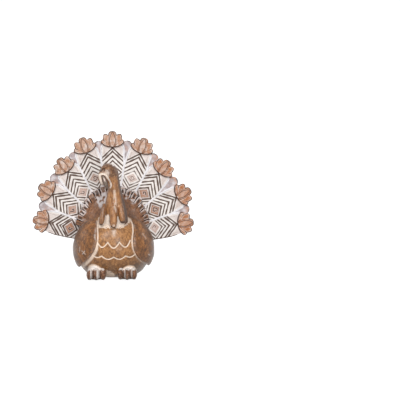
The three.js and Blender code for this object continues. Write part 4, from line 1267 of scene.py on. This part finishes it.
def board_shapes():
    """The outlines of the board: a backing for each feather, a leaf between each two, and the root."""
    shapes = []
    for n, angle in enumerate(FEATHER_ANGLES):
        left, right = (np.array(feather_edge(n, side)) - (BACKING_INSET, 0) for side in SIDES)
        backing = np.concatenate([right, left[::-1] * (-1, 1)])
        shapes.append(joined(*turned(*apart(backing), angle)))
    for share, middle in zip(LEAF_REACH, LEAF_ANGLES):
        shapes.append(joined(*turned(*apart(leaf_outline(share * FAN_REACH)), middle)))
    w, d = ROOT_WIDTH / 2, ROOT_DEPTH
    left, right = quadratic((-w, -d / 2), (-w, -d), (0, -d), 8), quadratic((0, -d), (w, -d), (w, -d / 2), 8)
    shapes.append(np.concatenate([[[-w, FEATHER_ROOT]], left, right, [[w, -d / 2], [w, FEATHER_ROOT]]]))
    return shapes


def ray_reach(shapes, angles):
    """How far from the hub the outermost outline lies in each direction."""
    ray_x, ray_y = np.sin(angles)[:, None], np.cos(angles)[:, None]
    best = np.zeros(len(angles))
    for shape in shapes:
        x, y = apart(shape)
        step_x, step_y = apart(np.roll(shape, -1, axis=0) - shape)
        across = ray_x * step_y - ray_y * step_x
        across = np.where(np.abs(across) < 1e-9, 1e-9, across)
        r = (x * step_y - y * step_x) / across
        s = (x * ray_y - y * ray_x) / across
        best = np.maximum(best, np.where((s >= -1e-6) & (s <= 1 + 1e-6) & (r > 0), r, 0).max(axis=1))
    return best


def aside(angles, directions):
    """How far angles lie from the nearest of some directions, in radians, up to LEAF_SPAN."""
    off = least(*[np.abs(np.degrees(angles) - direction) for direction in directions])
    return np.radians(np.minimum(off, LEAF_SPAN))


def outside_feather(n, x, y):
    """How far points of the board lie outside the sides of feather n."""
    x, y = turned(x, y, -FEATHER_ANGLES[n])
    return np.where(y > 0, np.abs(x) - half_width(n, x, y), 99)


def board_front(angles, reach):
    """Points and masks of the board's front: rims beside the feathers and veined leaves between them."""
    outer = spaced([(0.44, 0.7, 12), (0.7, 0.985, 57)], [0.985, 0.993, 1])
    share = np.concatenate([[0.1, 0.25, 0.36], outer])
    radius, rim = share[:, None] * reach, (1 - share)[:, None] * reach
    x, y = radius * np.sin(angles), radius * np.cos(angles)
    place = joined(x, y, 0)
    outside = least(*[outside_feather(n, x, y) for n in range(len(FEATHER_ANGLES))])
    shown = outside > 0
    across = aside(angles, LEAF_ANGLES) * radius
    veins = np.minimum(np.abs(across - 2.6), np.abs(across))
    leaf = smooth(1.5, 2.3, outside)
    border = 2.35 + 0.15 * near(outside - 1.05, 1.05)
    height = border * (1 - leaf) + leaf * (1.75 - 0.25 * near(veins, 0.55))
    height = np.where(outside < -0.25, -0.02, height)
    height = np.where(outside < -0.05, np.minimum(height, 0.2), height)
    height = height - BOARD_ROUNDING * rolled(rim, BOARD_ROUNDING) * shown
    height = height + 0.06 * ripple(place, 6, 95) * shown
    white = np.where(shown, 1 - leaf * (0.72 + 0.2 * ripple(place, 7, 96)), 0.9)
    rust = 0.65 * smooth(0, 25, np.degrees(angles)) * smooth(9, 3, rim)
    rust = rust * smooth(-0.7, 0.2, ripple(place, 6, 103))
    wear_and_highlight = smooth(-0.9, 0.3, ripple(place, 9, 98))
    return fan_to_frame(joined(x, y, height)), {
        "white": white * (1 - 0.3 * smooth(3.2, 0.8, rim) * smooth(1.0, 2.2, outside)),
        "dark": most(
            0.5 * near(veins, 0.4) * leaf * smooth(0.5, -0.5, ripple(place, 7, 97)),
            0.95 * smooth(2.1, 0.9, rim) * smooth(0.9, 1.7, outside) * wear_and_highlight),
        "warm": leaf * (0.25 * smooth(0.2, 1.0, ripple(place, 9, 99)) + rust),
    }


def board_back(angles, reach):
    """The board's back: long shallow feathers, with a quill line down each and a cut between each two."""
    share = np.concatenate([[1.0, 0.99], np.linspace(0.975, 0.3, 44), [0.1]])
    radius, rim = share[:, None] * reach, (1 - share)[:, None] * reach
    x, y = radius * np.sin(angles), radius * np.cos(angles)
    place = joined(x, y, 0)
    to_quill, to_part = aside(angles, FEATHER_ANGLES) * radius, aside(angles, LEAF_ANGLES) * radius
    barbs = np.abs(((radius - 0.9 * to_quill) / BARB_PITCH + 0.5) % 1 - 0.5) * BARB_PITCH
    upper = (np.cos(angles) > -0.25) * smooth(30, 42, radius)
    cut = np.minimum(to_part / 1.1, to_quill / 0.8 + 0.25)
    depth = upper * (0.75 * near(cut, 1.0) + 0.3 * near(barbs, 0.75) * smooth(0.8, 1.6, to_part))
    height = -BOARD_THICKNESS + depth + BOARD_ROUNDING * rolled(rim, BOARD_ROUNDING)
    barb_dark = 0.62 * near(barbs, 0.7) * smooth(0.8, 1.6, to_part)
    return fan_to_frame(joined(x, y, height)), {
        "white": 0.3 + 0.3 * smooth(-0.3, 0.9, ripple(place, 15, 101)) + 0.3 * smooth(9, 1.5, rim),
        "dark": upper * np.maximum(np.clip(0.8 - cut * 0.6, 0, 1), barb_dark),
        "warm": 0.2 * smooth(0, 1, ripple(place, 22, 102)),
    }


def make_board():
    side = BOARD_FRONT_ANGLE
    angles = np.concatenate([np.linspace(-side, side, 640), np.linspace(side, 360 - side, 40)[1:-1]])
    angles = np.radians(angles)
    reach = ray_reach(board_shapes(), angles)
    (front, masks), (back, back_masks) = board_front(angles, reach), board_back(angles, reach)
    masks = {key: np.concatenate([values, back_masks[key]]) for key, values in masks.items()}
    form = skin(np.concatenate([front, back]), **masks)
    make_object("carved_fan_board", form, "board", "tail_board")


# Ruff

def ruff_masks(top, turns, out, across, lane, longer, marked):
    parted = smooth(0.76, 0.84, out)
    left, right = RUFF_PALE_TURNS
    from_left = smooth(15, 9, np.abs(turns - left))[:, None]
    from_right = smooth(26, 16, np.abs(turns - right))[:, None]
    rim = smooth(0.5, 0.62, lane) * smooth(0.84, 0.76, lane)
    rim = rim * smooth(0.8, 0.88, out) * smooth(0.0, 0.3, marked)
    tip_rim = smooth(0.962, 0.98, out) * smooth(0.8, 0.6, across)
    root_arc = smooth(0.02, 0.008, np.abs(out - 0.79 - 0.02 * across**2)) * smooth(-0.4, 0.3, longer)
    blot = (marked > 0.35) * smooth(0.42, 0.2, across) * smooth(0.84, 0.87, out) * smooth(0.955, 0.93, out)
    ragged = from_left * smooth(0.55, 0.66, out) * smooth(0.9, 0.82, out)
    ragged = ragged * smooth(-0.9, 0.1, ripple(top, 5, 306))
    patches = smooth(0.0, 0.9, ripple(top, 8, 302))
    white = 0.7 * np.maximum(rim, tip_rim) + 0.35 * marked * patches * parted
    white = white + 0.25 * patches * smooth(0.5, 0.75, out)
    dark = most(
        0.85 * smooth(0.8, 0.92, lane) * parted,
        0.85 * blot,
        0.6 * root_arc,
        0.8 * (smooth(0.955, 0.985, out) * smooth(0.25, 0.7, across)))
    # Painted shade on the slope below the fingers, more on the right, with uneven patches
    shade = 0.55 * smooth(0.8, 0.55, out) * (0.4 + 0.6 * smooth(-5, 20, turns))[:, None]
    return {
        "white": most(
            white,
            0.85 * ragged,
            0.6 * (from_right * smooth(0.7, 0.8, out)) * smooth(-0.2, 0.4, ripple(top, 6, 303))),
        "dark": dark * (1 - 0.75 * ragged),
        "warm": most(
            0.25 + 0.6 * parted * smooth(0.6, 0.1, across) * (1 - 0.6 * marked),
            0.8 * from_left * smooth(0.82, 0.9, out)),
        "shade": shade + 0.25 * smooth(-0.2, 1, ripple(top, 8, 307)),
    }


def make_ruff():
    """The fringe over the shoulders: a smooth slope that parts into short fingers, longest by the neck."""
    steps = np.arange(RUFF_FINGERS * RUFF_STEPS + 1)
    turns = np.linspace(-RUFF_HALF_ANGLE, RUFF_HALF_ANGLE, len(steps))
    which = np.minimum(steps // RUFF_STEPS, RUFF_FINGERS - 1)
    across = np.abs((steps / RUFF_STEPS) % 1 - 0.5)[:, None] * 2
    draw = np.random.default_rng(300)
    longer = draw.uniform(-1, 1, RUFF_FINGERS)[which][:, None]
    marked = draw.uniform(0, 1, RUFF_FINGERS)[which][:, None]
    out, rise = apart(catmull(RUFF_ROWS, np.linspace(0, 1, 64)))
    out = np.broadcast_to(out, (len(turns), len(out)))
    angle = np.radians(turns)[:, None]
    parted = smooth(0.76, 0.84, out)
    reach = RUFF_REACH + RUFF_CROWN * np.cos(angle) ** 3 + 1.5 * longer * smooth(0.6, 0.9, out)
    radius = out * reach - 2.9 * (1 - dome(across)) * smooth(0.86, 0.99, out)
    lane = across + 0.12 * ripple(joined(out * 40, angle * 30, 0), 6, 304)
    height = FEATHER_TOP + rise * RUFF_RISE + 0.9 * parted * dome(across)
    height = height - 1.7 * (parted * smooth(0.78, 0.98, across))
    top = joined(radius * np.sin(angle), radius * np.cos(angle), np.maximum(height, FEATHER_TOP + 0.2))
    top[..., 2] += 0.2 * ripple(top, 7, 301) + 0.35 * (1 - parted) * ripple(top * (1, 1, 0.4), 9, 305)
    foot = top[:, [-1, 0]]
    foot[..., 2] = FEATHER_TOP
    masks = ruff_masks(top, turns, out, across, lane, longer, marked)
    bare = np.zeros((len(turns), 2))
    masks = {key: np.concatenate([values, bare], axis=1) for key, values in masks.items()}
    form = skin(fan_to_frame(np.concatenate([top, foot], axis=1)), **masks)
    make_object("carved_shoulder_ruff", form, "ruff", "shoulder_ruff")


# Felt pads

def make_pad(name):
    low, high = (np.array(corner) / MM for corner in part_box(name))
    centre, radius = (low + high) / 2, (high[0] - low[0]) / 2
    angles = np.linspace(0, 2 * math.pi, 96, endpoint=False)
    round_ = joined(np.sin(angles), np.cos(angles))
    rings = []
    for out, up in PAD_ROWS:
        ring = joined(*(apart(round_) * out * radius), up * (high[2] - low[2]))
        rings.append(ring + np.array([centre[0], centre[1], low[2]]))
    rings = np.array(rings)
    fuzz = np.abs(0.06 * ripple(rings, 0.9, 400))
    rings[1:-1, :, :2] -= fuzz[1:-1, :, None] * round_
    make_object(name.replace("felt_pad", "felt_disc"), skin(rings), "felt", name)


# Stage, lamps and camera

def add_to_scene(name, data):
    thing = bpy.data.objects.new(name, data)
    bpy.context.scene.collection.objects.link(thing)
    return thing


def look_from(thing, place, target):
    thing.location = place
    thing.rotation_euler = (target - Vector(place)).to_track_quat("-Z", "Y").to_euler()


def make_stage():
    half = FLOOR_HALF_M
    mesh = bpy.data.meshes.new("floor")
    corners = [(-half, -half, 0), (half, -half, 0), (half, half, 0), (-half, half, 0)]
    mesh.from_pydata(corners, [], [(0, 1, 2, 3)])
    floor = add_to_scene("floor", mesh)
    g = Graph(bpy.data.materials.new("pale floor"))
    g.fill(g.shader, {"Roughness": 0.9, "Base Color": (0.42, 0.42, 0.42, 1)})
    strength = g.math("MULTIPLY", g.seen(), 0.88)
    glow = g.add("ShaderNodeEmission", {"Color": (1, 1, 1, 1), "Strength": strength})
    both = g.add("ShaderNodeAddShader", {0: g.shader.outputs["BSDF"], 1: glow})
    g.link(both, g.tree.nodes["Material Output"].inputs["Surface"])
    mesh.materials.append(g.owner)


def make_world():
    world = bpy.data.worlds.new("studio")
    g = Graph(world)
    strength = g.range(g.seen(), 0, 1, 0.22, 1.0, kind="LINEAR")
    g.fill(g.tree.nodes["Background"], {"Color": (1, 1, 1, 1), "Strength": strength})
    bpy.context.scene.world = world


def make_lamp(name, place, size, power):
    data = bpy.data.lights.new(name, "AREA")
    data.shape = "RECTANGLE"
    data.size, data.size_y = size
    data.energy = power
    look_from(add_to_scene(name, data), place, LAMP_TARGET_M)


def make_camera():
    data = bpy.data.cameras.new("camera")
    data.lens = CAMERA_LENS
    data.sensor_width = CAMERA_SENSOR
    data.clip_end = 20
    lift, turn = math.radians(CAMERA_LIFT), math.radians(CAMERA_TURN)
    back = Vector((math.sin(turn) * math.cos(lift), -math.cos(turn) * math.cos(lift), math.sin(lift)))
    camera = add_to_scene("camera", data)
    look_from(camera, CAMERA_TARGET_M + CAMERA_DISTANCE_M * back, CAMERA_TARGET_M)
    bpy.context.scene.camera = camera


make_body()
for hand_side, hand_name in SIDES.items():
    make_wing(hand_side, hand_name)
    make_foot(hand_side, hand_name)
make_neck()
make_beak()
make_board()
for feather in range(len(FEATHER_ANGLES)):
    make_feather(feather)
    make_tip(feather)
make_ruff()
for pad in PADS:
    make_pad(pad)

make_stage()
make_world()
for lamp in LAMPS:
    make_lamp(*lamp)
make_camera()
bpy.context.scene.view_settings.view_transform = "Standard"
